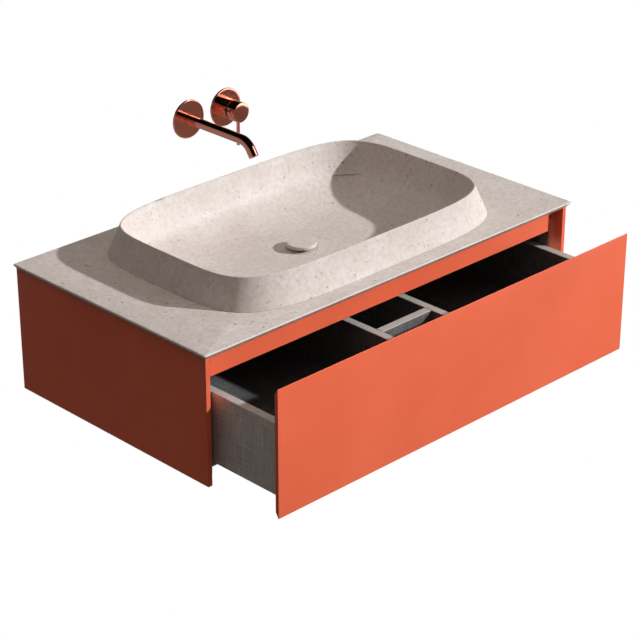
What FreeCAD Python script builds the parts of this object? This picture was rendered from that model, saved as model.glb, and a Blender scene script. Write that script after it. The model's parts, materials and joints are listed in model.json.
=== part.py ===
import FreeCAD, Part
import math
import os

# Wall-hung vanity with one drawer, a stone vessel basin and a two-hole wall tap.
# Millimetres. +X right, +Y into the wall, +Z up. The wall's finished face is y = 0.
# Origin: the centre of the cabinet's four wall-fixing holes, on the wall's face.

V = FreeCAD.Vector
os.makedirs("parts", exist_ok=True)

# ---- overall sizes ---------------------------------------------------------
width = 1000.0            # countertop, end to end
depth = 550.0             # countertop, wall to front edge
height = 270.0            # countertop's top face to the cabinet's underside
fixing_drop = 60.0        # countertop's top face above the wall fixings

# ---- countertop ------------------------------------------------------------
slab_thick = 12.0
slab_nose = 4.0           # upright part of the front and end edges
slab_bevel = 8.0          # what the undercut edge loses, front and ends
seat_gap = 4.0            # cut-out to the part of the basin that hangs in it

# ---- cabinet ---------------------------------------------------------------
panel_thick = 10.0        # lacquered outer side panel
board = 18.0              # carcass board
carcass_rise = 10.0       # carcass underside above the side panels' underside
front_setback = 20.0      # carcass front edge behind the side panels' front edge
rail_drop = 51.0          # height of the top front rail
floor_thick = 14.0
back_gap = 12.0           # floor and lower back rail to the wall
back_rail_rise = 60.0
stretcher_depth = 60.0
stretcher_gap = 8.0       # top back stretcher to the wall
grip_flat = 6.0           # flat front edge left on the carcass side
grip_depth = 12.0         # how far the grip profile sits in the carcass side
grip_lip = 2.0            # grip profile's tip behind the side panel's front edge

# ---- drawer ----------------------------------------------------------------
drawer_open = 169.0       # how far the drawer stands open at rest
front_thick = 18.0
front_nose = 1.0          # square part of the drawer front's top and bottom edges
front_side_nose = 7.5     # square part of its side edges, which are mitred at 45 degrees behind it
front_mitre = 28.0        # what the mitred top and bottom edges lose over the front's thickness
front_gap = 4.0           # drawer front to the side panels
front_top_gap = 2.0       # drawer front to the countertop
front_back_gap = 2.0      # drawer front to the carcass
drawer_gap = 4.0          # drawer side to the carcass side
drawer_length = 450.0
drawer_top_drop = 96.0    # drawer's top edge below the countertop's top face
drawer_base_rise = 31.0   # drawer sides' underside above the cabinet's underside
drawer_board = 18.0
drawer_floor_thick = 10.0
drawer_floor_rise = 15.0  # drawer floor's underside above the drawer sides' underside
well_half = 67.0          # half the clear width between the two dividers
tray_depth = 110.0        # clear depth of the tray in front of the trap's well

# ---- drawer runners --------------------------------------------------------
sheet = 1.5               # steel sheet
runner_gap = 1.0          # between members, each side
runner_inset = 4.0        # outer wall of the fixed member from the drawer side
runner_width = 36.0
runner_wall = 13.0        # height of the fixed member's upright walls
mid_height = 14.0
mid_slot = 14.0
stem_width = 6.0
foot_width = 22.0
foot_thick = 2.0
runner_front_gap = 2.0    # fixed member behind the drawer's box front, drawer closed
mid_length = 400.0
mid_shift = 5.0           # middle member behind the fixed member, drawer closed
damper_radius = 4.5
damper_length = 100.0

# ---- basin -----------------------------------------------------------------
rim_rise = 60.0           # rim above the countertop
rim_a = 343.0             # rim half length
rim_b = 215.0             # rim half width
rim_power = 4.9           # roundness of the rim's outline: 2 is an ellipse
foot_a = 366.0
foot_b = 239.0
foot_power = 4.6
lip = 4.0                 # rim thickness
bowl_depth = 95.0         # rim to bowl floor
wall_draft = 18.0         # how far the inner wall leans in before the fillet
fillet_run = 95.0         # width of the fillet between wall and floor
fillet_rise = 42.0        # height of the same fillet
bowl_shell = 12.0         # stone under and round the bowl
floor_power = 3.0         # roundness of the bowl floor's outline
boss_rise = 6.0           # boss round the waste, below the bowl's shell
boss_margin = 4.0         # same boss, wider than the waste's flange
waste_hole_gap = 0.7      # hole in the stone round the waste's thread
seal_width = 8.0
seal_thick = 2.0

# ---- waste and trap --------------------------------------------------------
waste_flange_radius = 31.0
waste_flange_thick = 2.5
waste_radius = 20.8       # G1 1/4 thread, outside
waste_wall = 2.8
waste_length = 77.0       # bowl floor to the waste's lower end
nut_hex = 54.0            # across flats
nut_thick = 10.0
washer_thick = 3.0
cap_radius = 30.0
cap_thick = 7.0
cap_lift = 6.5            # gap under the cap when the waste is open
cap_stem_radius = 3.0
cap_stem_length = 34.0
cap_seal_thick = 2.0
clicker_radius = 8.0
clicker_top = 14.0        # mechanism below the bowl floor
clicker_height = 24.0
pipe_radius = 16.0        # 32 mm tube
pipe_wall = 1.5
fit_gap = 0.2             # sliding parts of the trap, on the radius
trap_radius = 30.0
trap_wall = 2.0
trap_top_drop = 146.0     # trap body's top below the countertop's top face
trap_split_drop = 190.0
trap_bottom_drop = 236.0
outlet_drop = 165.0       # outlet pipe's axis below the countertop's top face
outlet_arm = 52.0         # trap axis to the end of the trap's side arm
pipe_in_wall = 50.0
bead_rise = 2.0           # stop bead that sets how far the pipe goes into the wall
bead_width = 4.0
rosette_radius = 35.0
rosette_thick = 8.0

# ---- wall tap --------------------------------------------------------------
tap_rise = 176.0          # tap axes above the countertop
tap_spacing = 100.0       # spout axis to mixer axis
tap_disc_radius = 40.0
tap_disc_thick = 4.0
spout_radius = 10.0
spout_wall = 1.5
spout_straight = 159.0    # wall to the start of the bend
spout_bend_radius = 32.0
spout_bend = 55.0         # degrees below horizontal
spout_nose = 16.7
spout_tail = 26.0         # spout inside the valve body
grip_radius = 21.0        # mixer sleeve and handle
sleeve_length = 20.0
handle_gap = 5.0
handle_length = 21.0
handle_bore = 16.0
handle_bore_depth = 12.0
lever_radius = 3.5
lever_reach = 72.0        # mixer axis to the lever's tip
cartridge_radius = 15.0
neck_radius = 12.0
neck_bore = 9.0
neck_length = 13.0
stick_width = 4.0
stick_height = 6.0
slot_gap = 0.3            # rotor's slot to the stick, each side
pin_radius = 1.5
valve_depth = 46.0        # back of the valve body behind the wall's face
valve_front = 4.0
valve_radius = 24.0
inlet_radius = 14.0
inlet_bore = 9.3          # G1/2 thread, inside
inlet_bore_length = 16.0
inlet_drop = 48.0
inlet_offset = 16.0
lug_hole = 2.75
lug_rise = 38.0
lug_half = 9.0

# ---- wall plates and hangers -----------------------------------------------
plate_hole_x = 407.0      # wall-fixing holes from the middle
plate_hole_z = 16.0       # wall-fixing holes above and below the origin
plate_hole_radius = 3.25
plate_half_height = 25.0
plate_margin = 15.0       # plate edge beyond the fixing holes
plate_thick = 3.0
hanger_width = 30.0
hanger_depth = 53.0
hanger_height = 48.0
hanger_gap = 9.0          # hanger body to the wall
lip_low = 5.0             # wall plate's lip, above the origin
lip_top = 20.0
screw_head = 4.0
connector_head = 3.0      # heads of the screws between carcass boards
screw_radius = 2.0
screw_gap = 0.1

# ---- places worked out from the sizes --------------------------------------
top_z = fixing_drop
under_z = top_z - slab_thick
base_z = top_z - height
half = width / 2
front_y = -depth
panel_out = half - slab_bevel
panel_in = panel_out - panel_thick
side_in = panel_in - board
panel_front = front_y + slab_bevel
carcass_front = panel_front + front_setback
carcass_base = base_z + carcass_rise
floor_top = carcass_base + floor_thick
rail_back = carcass_front + board
axis_y = -depth / 2
bowl_z = top_z + rim_rise - bowl_depth
boss_low = bowl_z - bowl_shell - boss_rise
bore_radius = waste_radius - waste_wall
waste_low = bowl_z - waste_length

front_face = carcass_front - front_back_gap - front_thick - drawer_open
box_front = front_face + front_thick
box_back = box_front + drawer_length
drawer_out = side_in - drawer_gap
drawer_in = drawer_out - drawer_board
drawer_top = top_z - drawer_top_drop
drawer_base = base_z + drawer_base_rise
floor_under = drawer_base + drawer_floor_rise
floor_over = floor_under + drawer_floor_thick
divider_out = well_half + drawer_board
inner_front = box_front + drawer_board
cross_front = inner_front + tray_depth
cross_back = cross_front + drawer_board

tap_z = top_z + tap_rise
spout_x = -tap_spacing / 2
mixer_x = tap_spacing / 2

parts = {}


# ---- helpers ---------------------------------------------------------------
def box(x0, x1, y0, y1, z0, z1):
    return Part.makeBox(x1 - x0, y1 - y0, z1 - z0, V(x0, y0, z0))


def rod(radius, start, end):
    run = end - start
    return Part.makeCylinder(radius, run.Length, start, run)


def tube(outer, inner, start, end):
    return rod(outer, start, end).cut(rod(inner, start, end))


def joined(shapes):
    whole = shapes[0]
    for shape in shapes[1:]:
        whole = whole.fuse(shape)
    return whole.removeSplitter()


def cut_all(shape, tools):
    for tool in tools:
        shape = shape.cut(tool)
    return shape


def mirrored(shape):
    return shape.mirror(V(0, 0, 0), V(1, 0, 0))


def rectangle(x0, x1, y0, y1, z):
    corners = [V(x0, y0, z), V(x1, y0, z), V(x1, y1, z), V(x0, y1, z)]
    return Part.makePolygon(corners + corners[:1])


def outline(a, b, power, z, steps=40):
    """Closed superellipse round the basin's axis at height z."""
    points = []
    for i in range(steps):
        angle = 2 * math.pi * i / steps
        c = math.cos(angle)
        s = math.sin(angle)
        x = math.copysign(a * abs(c) ** (2 / power), c)
        y = math.copysign(b * abs(s) ** (2 / power), s)
        points.append(V(x, axis_y + y, z))
    curve = Part.BSplineCurve()
    curve.interpolate(points, PeriodicFlag=True)
    return Part.Wire(curve.toShape())


def prism(a, b, power, z0, z1):
    face = Part.Face(outline(a, b, power, z0))
    return face.extrude(V(0, 0, z1 - z0))


def loft(wires, ruled=False):
    return Part.makeLoft(wires, True, ruled)


def hexagon(across, start, end):
    radius = across / math.sqrt(3)
    corners = []
    for i in range(7):
        angle = math.radians(60 * i)
        corners.append(start + V(radius * math.cos(angle), radius * math.sin(angle), 0))
    return Part.Face(Part.makePolygon(corners)).extrude(end - start)


def add(name, shape):
    solids = shape.Solids
    if not shape.isValid() or not solids:
        raise ValueError(name + " is not a valid solid")
    parts[name] = solids[0] if len(solids) == 1 else Part.makeCompound(solids)


def add_pair(name, right_shape):
    add("right_" + name, right_shape)
    add("left_" + name, mirrored(right_shape))


def add_both(name, right_shape):
    """One node that holds the right-hand piece and its mirror image as separate solids."""
    add(name, Part.makeCompound([right_shape, mirrored(right_shape)]))


def on_axis(z, dy=0.0):
    """Point on the waste's upright axis, dy towards the wall."""
    return V(0, axis_y + dy, z)


# ---- stone -----------------------------------------------------------------
def bowl_profile():
    """Inset from the rim's inner edge and depth below the rim, down the bowl's inner wall."""
    wall_depth = bowl_depth - fillet_rise
    rows = [(0.0, 0.0), (wall_draft * 0.45, wall_depth * 0.5), (wall_draft, wall_depth)]
    for step in (1, 2, 3, 4):
        angle = math.radians(22.5 * step)
        inset = wall_draft + fillet_run * (1 - math.cos(angle))
        rows.append((inset, wall_depth + fillet_rise * math.sin(angle)))
    return rows


def bowl_sections(grow, drop):
    """Outlines down the bowl, moved out by grow and down by drop."""
    rows = bowl_profile()
    deepest = rows[-1][0]
    wires = []
    for inset, below in rows:
        share = inset / deepest
        power = rim_power + (floor_power - rim_power) * share
        a = rim_a - lip - inset + grow
        b = rim_b - lip - inset + grow
        wires.append(outline(a, b, power, top_z + rim_rise - below - drop))
    return wires


def make_seal():
    """Ring under the basin's foot, in a groove of the same shape."""
    seal_top = top_z + seal_thick
    outer = prism(foot_a - seal_width, foot_b - seal_width, foot_power, top_z, seal_top)
    inner = prism(foot_a - 2 * seal_width, foot_b - 2 * seal_width, foot_power, top_z, seal_top)
    return outer.cut(inner)


def make_basin():
    skirt = loft([outline(foot_a, foot_b, foot_power, top_z),
                  outline(rim_a, rim_b, rim_power, top_z + rim_rise)], ruled=True)
    hanging = loft(bowl_sections(bowl_shell, bowl_shell))
    upper_half = box(-width, width, -2 * depth, depth, top_z, top_z + 4 * rim_rise)
    body = joined([skirt, hanging.cut(upper_half)])
    cavity = loft(bowl_sections(0.0, 0.0))
    body = body.cut(cavity)
    above = on_axis(bowl_z + 1)
    body = body.fuse(rod(waste_flange_radius + boss_margin, on_axis(boss_low), on_axis(bowl_z - 4)))
    hole = rod(waste_radius + waste_hole_gap, on_axis(boss_low - 1), above)
    recess = rod(waste_flange_radius + 0.3, on_axis(bowl_z - waste_flange_thick), above)
    return cut_all(body, [hole, recess, make_seal()])


def hanging_size():
    """Half sizes of the bowl's outside where it passes through the countertop."""
    rows = bowl_profile()
    below = rim_rise - bowl_shell
    for (inset0, below0), (inset1, below1) in zip(rows, rows[1:]):
        if below0 <= below <= below1:
            inset = inset0 + (inset1 - inset0) * (below - below0) / (below1 - below0)
    return rim_a - lip - inset + bowl_shell, rim_b - lip - inset + bowl_shell


def make_countertop():
    nose = box(-half, half, front_y, 0, top_z - slab_nose, top_z)
    undercut = loft([rectangle(-half, half, front_y, 0, top_z - slab_nose),
                     rectangle(-panel_out, panel_out, panel_front, 0, under_z)], ruled=True)
    a, b = hanging_size()
    cutout = prism(a + seat_gap, b + seat_gap, rim_power, under_z - 1, top_z + 1)
    return joined([nose, undercut]).cut(cutout)


add("countertop", make_countertop())
add("basin", make_basin())
add("basin_seal", make_seal())


# ---- waste and trap --------------------------------------------------------
def make_waste_body():
    flange = rod(waste_flange_radius, on_axis(bowl_z - waste_flange_thick), on_axis(bowl_z))
    shank = rod(waste_radius, on_axis(waste_low), on_axis(bowl_z))
    bore = rod(bore_radius, on_axis(waste_low - 1), on_axis(bowl_z + 1))
    return flange.fuse(shank).cut(bore)


def make_clicker():
    top = bowl_z - clicker_top
    core = rod(clicker_radius, on_axis(top - clicker_height), on_axis(top))
    spokes = []
    for angle in (90, 210, 330):
        spoke = box(0, bore_radius + 1, -1.5, 1.5, top - 6, top - 2)
        spoke.rotate(V(0, 0, 0), V(0, 0, 1), angle)
        spoke.translate(V(0, axis_y, 0))
        spokes.append(spoke)
    body = joined([core] + spokes)
    body = body.common(rod(bore_radius, on_axis(top - 2 * clicker_height), on_axis(top + 1)))
    return body.cut(rod(cap_stem_radius + 0.1, on_axis(top - clicker_height + 2), on_axis(top + 1)))


washer_low = boss_low - washer_thick
cap_low = bowl_z + cap_lift
add("waste_body", make_waste_body())
add("waste_washer", tube(waste_radius + 7, waste_radius + 0.1, on_axis(washer_low), on_axis(boss_low)))
waste_nut = hexagon(nut_hex, on_axis(washer_low - nut_thick), on_axis(washer_low))
add("waste_nut", waste_nut.cut(rod(waste_radius + 0.1, on_axis(washer_low - nut_thick), on_axis(washer_low))))
add("pop_up_mechanism", make_clicker())
cap = rod(cap_radius, on_axis(cap_low), on_axis(cap_low + cap_thick))
cap = cap.makeFillet(1.5, [edge for edge in cap.Edges if edge.BoundBox.ZMin > cap_low + cap_thick - 0.01])
add("drain_cap", cap)
cap_seal_low = cap_low - cap_seal_thick
add("drain_cap_seal", tube(bore_radius - 0.6, cap_stem_radius, on_axis(cap_seal_low), on_axis(cap_low)))
add("drain_cap_stem", rod(cap_stem_radius, on_axis(cap_low - cap_stem_length), on_axis(cap_low)))

dip_top = waste_low + 8
trap_top = top_z - trap_top_drop
trap_split = top_z - trap_split_drop
trap_low = top_z - trap_bottom_drop
outlet_z = top_z - outlet_drop
loose_pipe = pipe_radius + fit_gap


def make_trap_body():
    shell = tube(trap_radius, trap_radius - trap_wall, on_axis(trap_split), on_axis(trap_top))
    lid = rod(trap_radius, on_axis(trap_top - 3), on_axis(trap_top))
    arm = rod(pipe_radius + 3, on_axis(outlet_z), on_axis(outlet_z, outlet_arm))
    hollow = rod(trap_radius - trap_wall, on_axis(trap_split), on_axis(trap_top - 3))
    arm_bore = rod(loose_pipe, on_axis(outlet_z), on_axis(outlet_z, outlet_arm + 1))
    body = joined([shell, lid, arm])
    return cut_all(body, [hollow, arm_bore, rod(loose_pipe, on_axis(trap_top - 4), on_axis(trap_top + 1))])


def make_trap_cup():
    bore = trap_radius - trap_wall
    ring = trap_radius + 2.5
    cup = rod(trap_radius, on_axis(trap_low), on_axis(trap_split))
    cup = cup.cut(rod(bore, on_axis(trap_low + 3), on_axis(trap_split)))
    collar = tube(ring, trap_radius + fit_gap, on_axis(trap_split - 10), on_axis(trap_split + 6))
    flange = tube(ring, bore, on_axis(trap_split - 14), on_axis(trap_split - 8))
    return joined([cup, flange, collar])


nut_low = waste_low - 10
inlet_nut = rod(waste_radius + 5, on_axis(nut_low), on_axis(waste_low + 10))
inlet_nut = inlet_nut.cut(rod(waste_radius + fit_gap, on_axis(nut_low + 6), on_axis(waste_low + 11)))
inlet_nut = inlet_nut.cut(rod(loose_pipe, on_axis(nut_low - 1), on_axis(nut_low + 7)))
add("trap_inlet_nut", inlet_nut)
add("trap_dip_tube", tube(pipe_radius, pipe_radius - pipe_wall, on_axis(trap_split - 12), on_axis(dip_top)))
add("trap_top_nut", tube(pipe_radius + 8, loose_pipe, on_axis(trap_top), on_axis(trap_top + 12)))
add("trap_body", make_trap_body())
add("trap_cup", make_trap_cup())
nut_start = on_axis(outlet_z, outlet_arm - 8)
nut_middle = on_axis(outlet_z, outlet_arm)
nut_end = on_axis(outlet_z, outlet_arm + 8)
outlet_nut = rod(pipe_radius + 8, nut_start, nut_end)
outlet_nut = outlet_nut.cut(rod(pipe_radius + 3 + fit_gap, nut_start, nut_middle))
add("trap_outlet_nut", outlet_nut.cut(rod(loose_pipe, nut_middle, nut_end)))
pipe_start = on_axis(outlet_z, outlet_arm - 14)
pipe_end = V(0, pipe_in_wall, outlet_z)
rosette_front = V(0, -rosette_thick, outlet_z)
rosette_back = V(0, 0, outlet_z)
pipe_bore = pipe_radius - pipe_wall
bead = tube(pipe_radius + bead_rise, pipe_bore, V(0, -bead_width, outlet_z), rosette_back)
add("outlet_pipe", joined([tube(pipe_radius, pipe_bore, pipe_start, pipe_end), bead]))
add("outlet_rosette", tube(rosette_radius, loose_pipe + bead_rise, rosette_front, rosette_back))


# ---- cabinet ---------------------------------------------------------------
def make_carcass_side():
    side = box(side_in, panel_in, carcass_front, 0, carcass_base, under_z)
    rebate_back = carcass_front + grip_depth
    rebate = box(side_in + grip_flat, panel_in, carcass_front, rebate_back, carcass_base, under_z)
    return side.cut(rebate)


def make_grip_profile():
    """Upright profile with a hollow front face: room for fingers beside the drawer front."""
    inner_x = side_in + grip_flat
    back_y = carcass_front + grip_depth
    inner = V(inner_x, carcass_front, carcass_base)
    tip = V(panel_in, panel_front + grip_lip, carcass_base)
    across = tip.x - inner.x
    along = inner.y - tip.y
    radius = (across ** 2 + along ** 2) / (2 * across)
    centre = V(tip.x - radius, tip.y, carcass_base)
    half_turn = math.atan2(along, radius - across) / 2
    middle = centre + V(radius * math.cos(half_turn), radius * math.sin(half_turn), 0)
    back_out = V(panel_in, back_y, carcass_base)
    back_in = V(inner_x, back_y, carcass_base)
    edges = [Part.Arc(inner, middle, tip).toShape()]
    for a, b in ((tip, back_out), (back_out, back_in), (back_in, inner)):
        edges.append(Part.LineSegment(a, b).toShape())
    return Part.Face(Part.Wire(edges)).extrude(V(0, 0, under_z - carcass_base))


rail_low = under_z - rail_drop
stretcher_front = -stretcher_gap - stretcher_depth
connector_places = [
    (rail_back - connector_head, under_z - rail_drop / 2),
    (stretcher_front + stretcher_depth / 2, under_z - board / 2),
    (carcass_front + 3 * board, carcass_base + floor_thick / 2),
    (-depth / 2, carcass_base + floor_thick / 2),
    (-back_gap - board / 2, floor_top + back_rail_rise / 2),
]


def make_connectors():
    """Wood screws through the carcass sides into the boards between them, heads under the outer panels."""
    screws = []
    for y, z in connector_places:
        shank = rod(screw_radius, V(side_in - 30, y, z), V(panel_in, y, z))
        head = rod(connector_head, V(panel_in - 2, y, z), V(panel_in, y, z))
        screws.append(shank.fuse(head))
        screws.append(mirrored(shank.fuse(head)))
    return screws


connectors = make_connectors()
add_pair("side_panel", box(panel_in, panel_out, panel_front, 0, base_z, under_z))
add("right_carcass_side", cut_all(make_carcass_side(), connectors))
add("left_carcass_side", mirrored(parts["right_carcass_side"]))
add_pair("grip_profile", make_grip_profile())


def add_board(name, y0, y1, z0, z1):
    """A board that spans between the carcass sides, drilled for its screws."""
    add(name, cut_all(box(-side_in, side_in, y0, y1, z0, z1), connectors))


add_board("top_front_rail", carcass_front, rail_back, rail_low, under_z)
add_board("top_back_stretcher", stretcher_front, -stretcher_gap, under_z - board, under_z)
add_board("cabinet_floor", rail_back, -back_gap, carcass_base, floor_top)
add_board("lower_back_rail", -back_gap - board, -back_gap, floor_top, floor_top + back_rail_rise)
add("carcass_screws", Part.makeCompound(connectors))

bumper_x = side_in + grip_flat / 2
bumpers = []
for z in (under_z - 20, carcass_base + 20):
    bumper = rod(2.5, V(bumper_x, carcass_front - front_back_gap + 0.5, z), V(bumper_x, carcass_front, z))
    bumpers.append(bumper)
    bumpers.append(mirrored(bumper))
add("drawer_bumpers", Part.makeCompound(bumpers))


# ---- wall plates and hangers -----------------------------------------------
hanger_in = side_in - hanger_width
lip_back = -plate_thick - 2.5
lip_front = lip_back - 2.5


def make_wall_plate():
    plate_in = plate_hole_x - plate_margin
    plate_end = side_in - 6
    base = box(plate_in, plate_end, -plate_thick, 0, -plate_half_height, plate_half_height)
    web = box(hanger_in, plate_end, lip_front, -plate_thick, lip_low, lip_low + 2.5)
    lip_part = box(hanger_in, plate_end, lip_front, lip_back, lip_low, lip_top)
    plate = joined([base, web, lip_part])
    holes = []
    for z in (-plate_hole_z, plate_hole_z):
        holes.append(rod(plate_hole_radius, V(plate_hole_x, -plate_thick - 1, z), V(plate_hole_x, 1, z)))
    return cut_all(plate, holes)


def make_hanger():
    rise = hanger_height / 2
    body = box(hanger_in, side_in, -hanger_gap - hanger_depth, -hanger_gap, -rise, rise)
    tongue = box(hanger_in + 5, side_in - 10, -hanger_gap, -plate_thick - 0.5, lip_top + 1, lip_top + 3)
    hook = box(hanger_in + 5, side_in - 10, lip_back + 0.5, -plate_thick - 0.5, lip_low + 4, lip_top + 3)
    return joined([body, tongue, hook])


def make_adjusters():
    screws = []
    middle = side_in - hanger_width / 2
    face = -hanger_gap - hanger_depth
    for z in (-10.0, 8.0):
        head = rod(screw_head, V(middle, face - 2.5, z), V(middle, face, z))
        slot = box(middle - 3, middle + 3, face - 3, face - 1.2, z - 0.5, z + 0.5)
        screws.append(head.cut(slot))
        screws.append(mirrored(head.cut(slot)))
    return Part.makeCompound(screws)


add_both("wall_plates", make_wall_plate())
add_both("hangers", make_hanger())
add("hanger_adjusters", make_adjusters())


# ---- drawer ----------------------------------------------------------------
def make_drawer_front():
    """Panel whose edges are cut back behind a narrow square nose, so that fingers can hook round it."""
    reach = panel_in - front_gap
    high = under_z - front_top_gap

    def frame(inset_x, inset_z, deep):
        x = reach - inset_x
        y = front_face + deep
        z0 = base_z + inset_z
        z1 = high - inset_z
        return Part.makePolygon([V(-x, y, z0), V(x, y, z0), V(x, y, z1), V(-x, y, z1), V(-x, y, z0)])

    slope = front_mitre / (front_thick - front_nose)
    frames = [frame(0.0, 0.0, 0.0), frame(0.0, 0.0, front_nose),
              frame(0.0, slope * (front_side_nose - front_nose), front_side_nose),
              frame(front_thick - front_side_nose, front_mitre, front_thick)]
    return joined([loft([near, far], ruled=True) for near, far in zip(frames, frames[1:])])


front_screw_x = (divider_out + drawer_in) / 2


def make_front_screws(gap):
    screws = []
    for x in (-drawer_in + 40, -front_screw_x, front_screw_x, drawer_in - 40):
        for z in (floor_over + 25, drawer_top - 25):
            shank = rod(screw_radius + gap, V(x, box_front - 10, z), V(x, inner_front, z))
            if gap == 0:
                shank = shank.fuse(rod(screw_head, V(x, inner_front, z), V(x, inner_front + 2, z)))
            screws.append(shank)
    return screws


screw_holes = make_front_screws(screw_gap)
add("drawer_front", cut_all(make_drawer_front(), screw_holes))
add("drawer_box_front", cut_all(box(-drawer_in, drawer_in, box_front, inner_front, drawer_base, drawer_top),
                                screw_holes))
add("front_screws", Part.makeCompound(make_front_screws(0)))
right_side = box(drawer_in, drawer_out, box_front, box_back, drawer_base, drawer_top)
add("drawer_right_side", right_side)
add("drawer_left_side", mirrored(right_side))
drawer_floor = box(-drawer_in, drawer_in, inner_front, box_back, floor_under, floor_over)
add("drawer_floor", drawer_floor.cut(box(-well_half, well_half, cross_back, box_back + 1,
                                         floor_under - 1, floor_over + 1)))
right_divider = box(well_half, divider_out, inner_front, box_back, floor_over, drawer_top)
add("drawer_right_divider", right_divider)
add("drawer_left_divider", mirrored(right_divider))
add("drawer_cross_wall", box(-well_half, well_half, cross_front, cross_back, floor_over, drawer_top))
right_back = box(divider_out, drawer_in, box_back - drawer_board, box_back, floor_over, drawer_top)
add("drawer_right_back", right_back)
add("drawer_left_back", mirrored(right_back))


# ---- runners ---------------------------------------------------------------
runner_out = drawer_in - runner_inset
runner_in = runner_out - runner_width
web_low = floor_top + 0.5
web_top = web_low + sheet
runner_start = inner_front + drawer_open + runner_front_gap
runner_end = runner_start + drawer_length
damper_x = runner_in - 2 * damper_radius


def make_fixed_member():
    flange = box(side_in - sheet, side_in, runner_start, runner_end, web_low, web_top + 22)
    web = box(damper_x - damper_radius, side_in, runner_start, runner_end, web_low, web_top)
    outer = box(runner_out - sheet, runner_out, runner_start, runner_end, web_top, web_top + runner_wall)
    inner = box(runner_in, runner_in + sheet, runner_start, runner_end, web_top, web_top + runner_wall)
    return joined([flange, web, outer, inner])


mid_low = web_top + runner_gap
mid_top = mid_low + mid_height
mid_out = runner_out - sheet - runner_gap
mid_in = runner_in + sheet + runner_gap
mid_start = runner_start + mid_shift - drawer_open / 2
centre_x = (mid_in + mid_out) / 2


def make_mid_member():
    end = mid_start + mid_length
    low = mid_low + sheet
    slot_in = centre_x - mid_slot / 2
    slot_out = centre_x + mid_slot / 2
    shell = box(mid_in, mid_out, mid_start, end, mid_low, mid_top)
    hollow = box(mid_in + sheet, mid_out - sheet, mid_start - 1, end + 1, low, mid_top - sheet)
    slot = box(slot_in, slot_out, mid_start - 1, end + 1, low + sheet, mid_top + 1)
    return cut_all(shell, [hollow, slot])


def make_drawer_member():
    start = inner_front + 2
    end = box_back - 4
    plate_low = floor_under - sheet
    foot_low = mid_low + sheet + runner_gap
    foot_half = foot_width / 2
    stem_half = stem_width / 2
    plate = box(runner_in - 2, runner_out + 2, start, end, plate_low, floor_under)
    foot = box(centre_x - foot_half, centre_x + foot_half, start, end, foot_low, foot_low + foot_thick)
    stem = box(centre_x - stem_half, centre_x + stem_half, start, end, foot_low, plate_low)
    return joined([plate, foot, stem])


add_both("runner_fixed_members", make_fixed_member())
add_both("runner_mid_members", make_mid_member())
add_both("runner_drawer_members", make_drawer_member())


def make_damper():
    z = web_top + damper_radius
    start = runner_end - damper_length - 40
    cylinder = rod(damper_radius, V(damper_x, start, z), V(damper_x, start + damper_length, z))
    plunger = rod(damper_radius / 2, V(damper_x, start - 30, z), V(damper_x, start, z))
    return cylinder.fuse(plunger)


add_both("dampers", make_damper())


# ---- wall tap --------------------------------------------------------------
def tap_point(x, y, dz=0.0):
    return V(x, y, tap_z + dz)


def make_tap_disc(x, bore):
    disc = rod(tap_disc_radius, tap_point(x, -tap_disc_thick), tap_point(x, 0))
    rim = [edge for edge in disc.Edges if edge.BoundBox.YMax < -tap_disc_thick + 0.01]
    disc = disc.makeFillet(1.0, rim)
    return disc.cut(rod(bore, tap_point(x, -tap_disc_thick - 1), tap_point(x, 1)))


def spout_path():
    """Straight out of the valve body, one bend, then the nose."""
    turn = math.radians(spout_bend)
    start = tap_point(spout_x, spout_tail)
    bend = tap_point(spout_x, -spout_straight)
    centre = bend - V(0, 0, spout_bend_radius)

    def on_bend(angle):
        return centre + V(0, -math.sin(angle), math.cos(angle)) * spout_bend_radius

    bend_end = on_bend(turn)
    nose = bend_end + V(0, -math.cos(turn), -math.sin(turn)) * spout_nose
    edges = [Part.LineSegment(start, bend).toShape(),
             Part.Arc(bend, on_bend(turn / 2), bend_end).toShape(),
             Part.LineSegment(bend_end, nose).toShape()]
    return Part.Wire(edges), nose, V(0, -math.cos(turn), -math.sin(turn))


spine, nose_point, nose_out = spout_path()


def swept(radius):
    circle = Part.Circle(tap_point(spout_x, spout_tail), V(0, 1, 0), radius).toShape()
    return spine.makePipeShell([Part.Wire(circle)], True, False)


aerator_radius = spout_radius - spout_wall
add("spout_disc", make_tap_disc(spout_x, spout_radius + 0.3))
add("spout", swept(spout_radius).cut(swept(aerator_radius)))
aerator = rod(aerator_radius, nose_point - nose_out * 9, nose_point - nose_out)
add("aerator", aerator.cut(rod(aerator_radius - 2.5, nose_point - nose_out * 4, nose_point)))

sleeve_front = -tap_disc_thick - sleeve_length
handle_back = sleeve_front - handle_gap
handle_front = handle_back - handle_length
pivot_y = (sleeve_front + handle_back) / 2 - 0.5
sleeve_bore = cartridge_radius + 1
cartridge_front = sleeve_front + 2
neck_front = cartridge_front - neck_length
rotor_back = pivot_y + 5
valve_bore_back = valve_depth - 7
lever_y = (handle_back + handle_front) / 2


def mixer_rod(radius, y0, y1):
    """Round bar on the mixer's axis, which runs square to the wall."""
    return rod(radius, tap_point(mixer_x, y0), tap_point(mixer_x, y1))


def cross_rod(radius, reach):
    """Round bar through the pivot of the lever's lift, left to right."""
    return rod(radius, tap_point(mixer_x - reach, pivot_y), tap_point(mixer_x + reach, pivot_y))


def stick_block(side, rise, y0, y1):
    return box(mixer_x - side, mixer_x + side, y0, y1, tap_z - rise, tap_z + rise)


def make_cartridge():
    core = mixer_rod(cartridge_radius, cartridge_front, valve_bore_back - 1)
    neck = mixer_rod(neck_radius, neck_front, cartridge_front)
    return core.fuse(neck).cut(mixer_rod(neck_bore, neck_front - 1, rotor_back + 1))


def make_lever():
    tip_z = tap_z - lever_reach
    bar = rod(lever_radius, V(mixer_x, lever_y, tip_z), V(mixer_x, lever_y, tap_z - handle_bore - 0.4))
    return bar.makeFillet(1.0, [edge for edge in bar.Edges if edge.BoundBox.ZMax < tip_z + 0.01])


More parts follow.
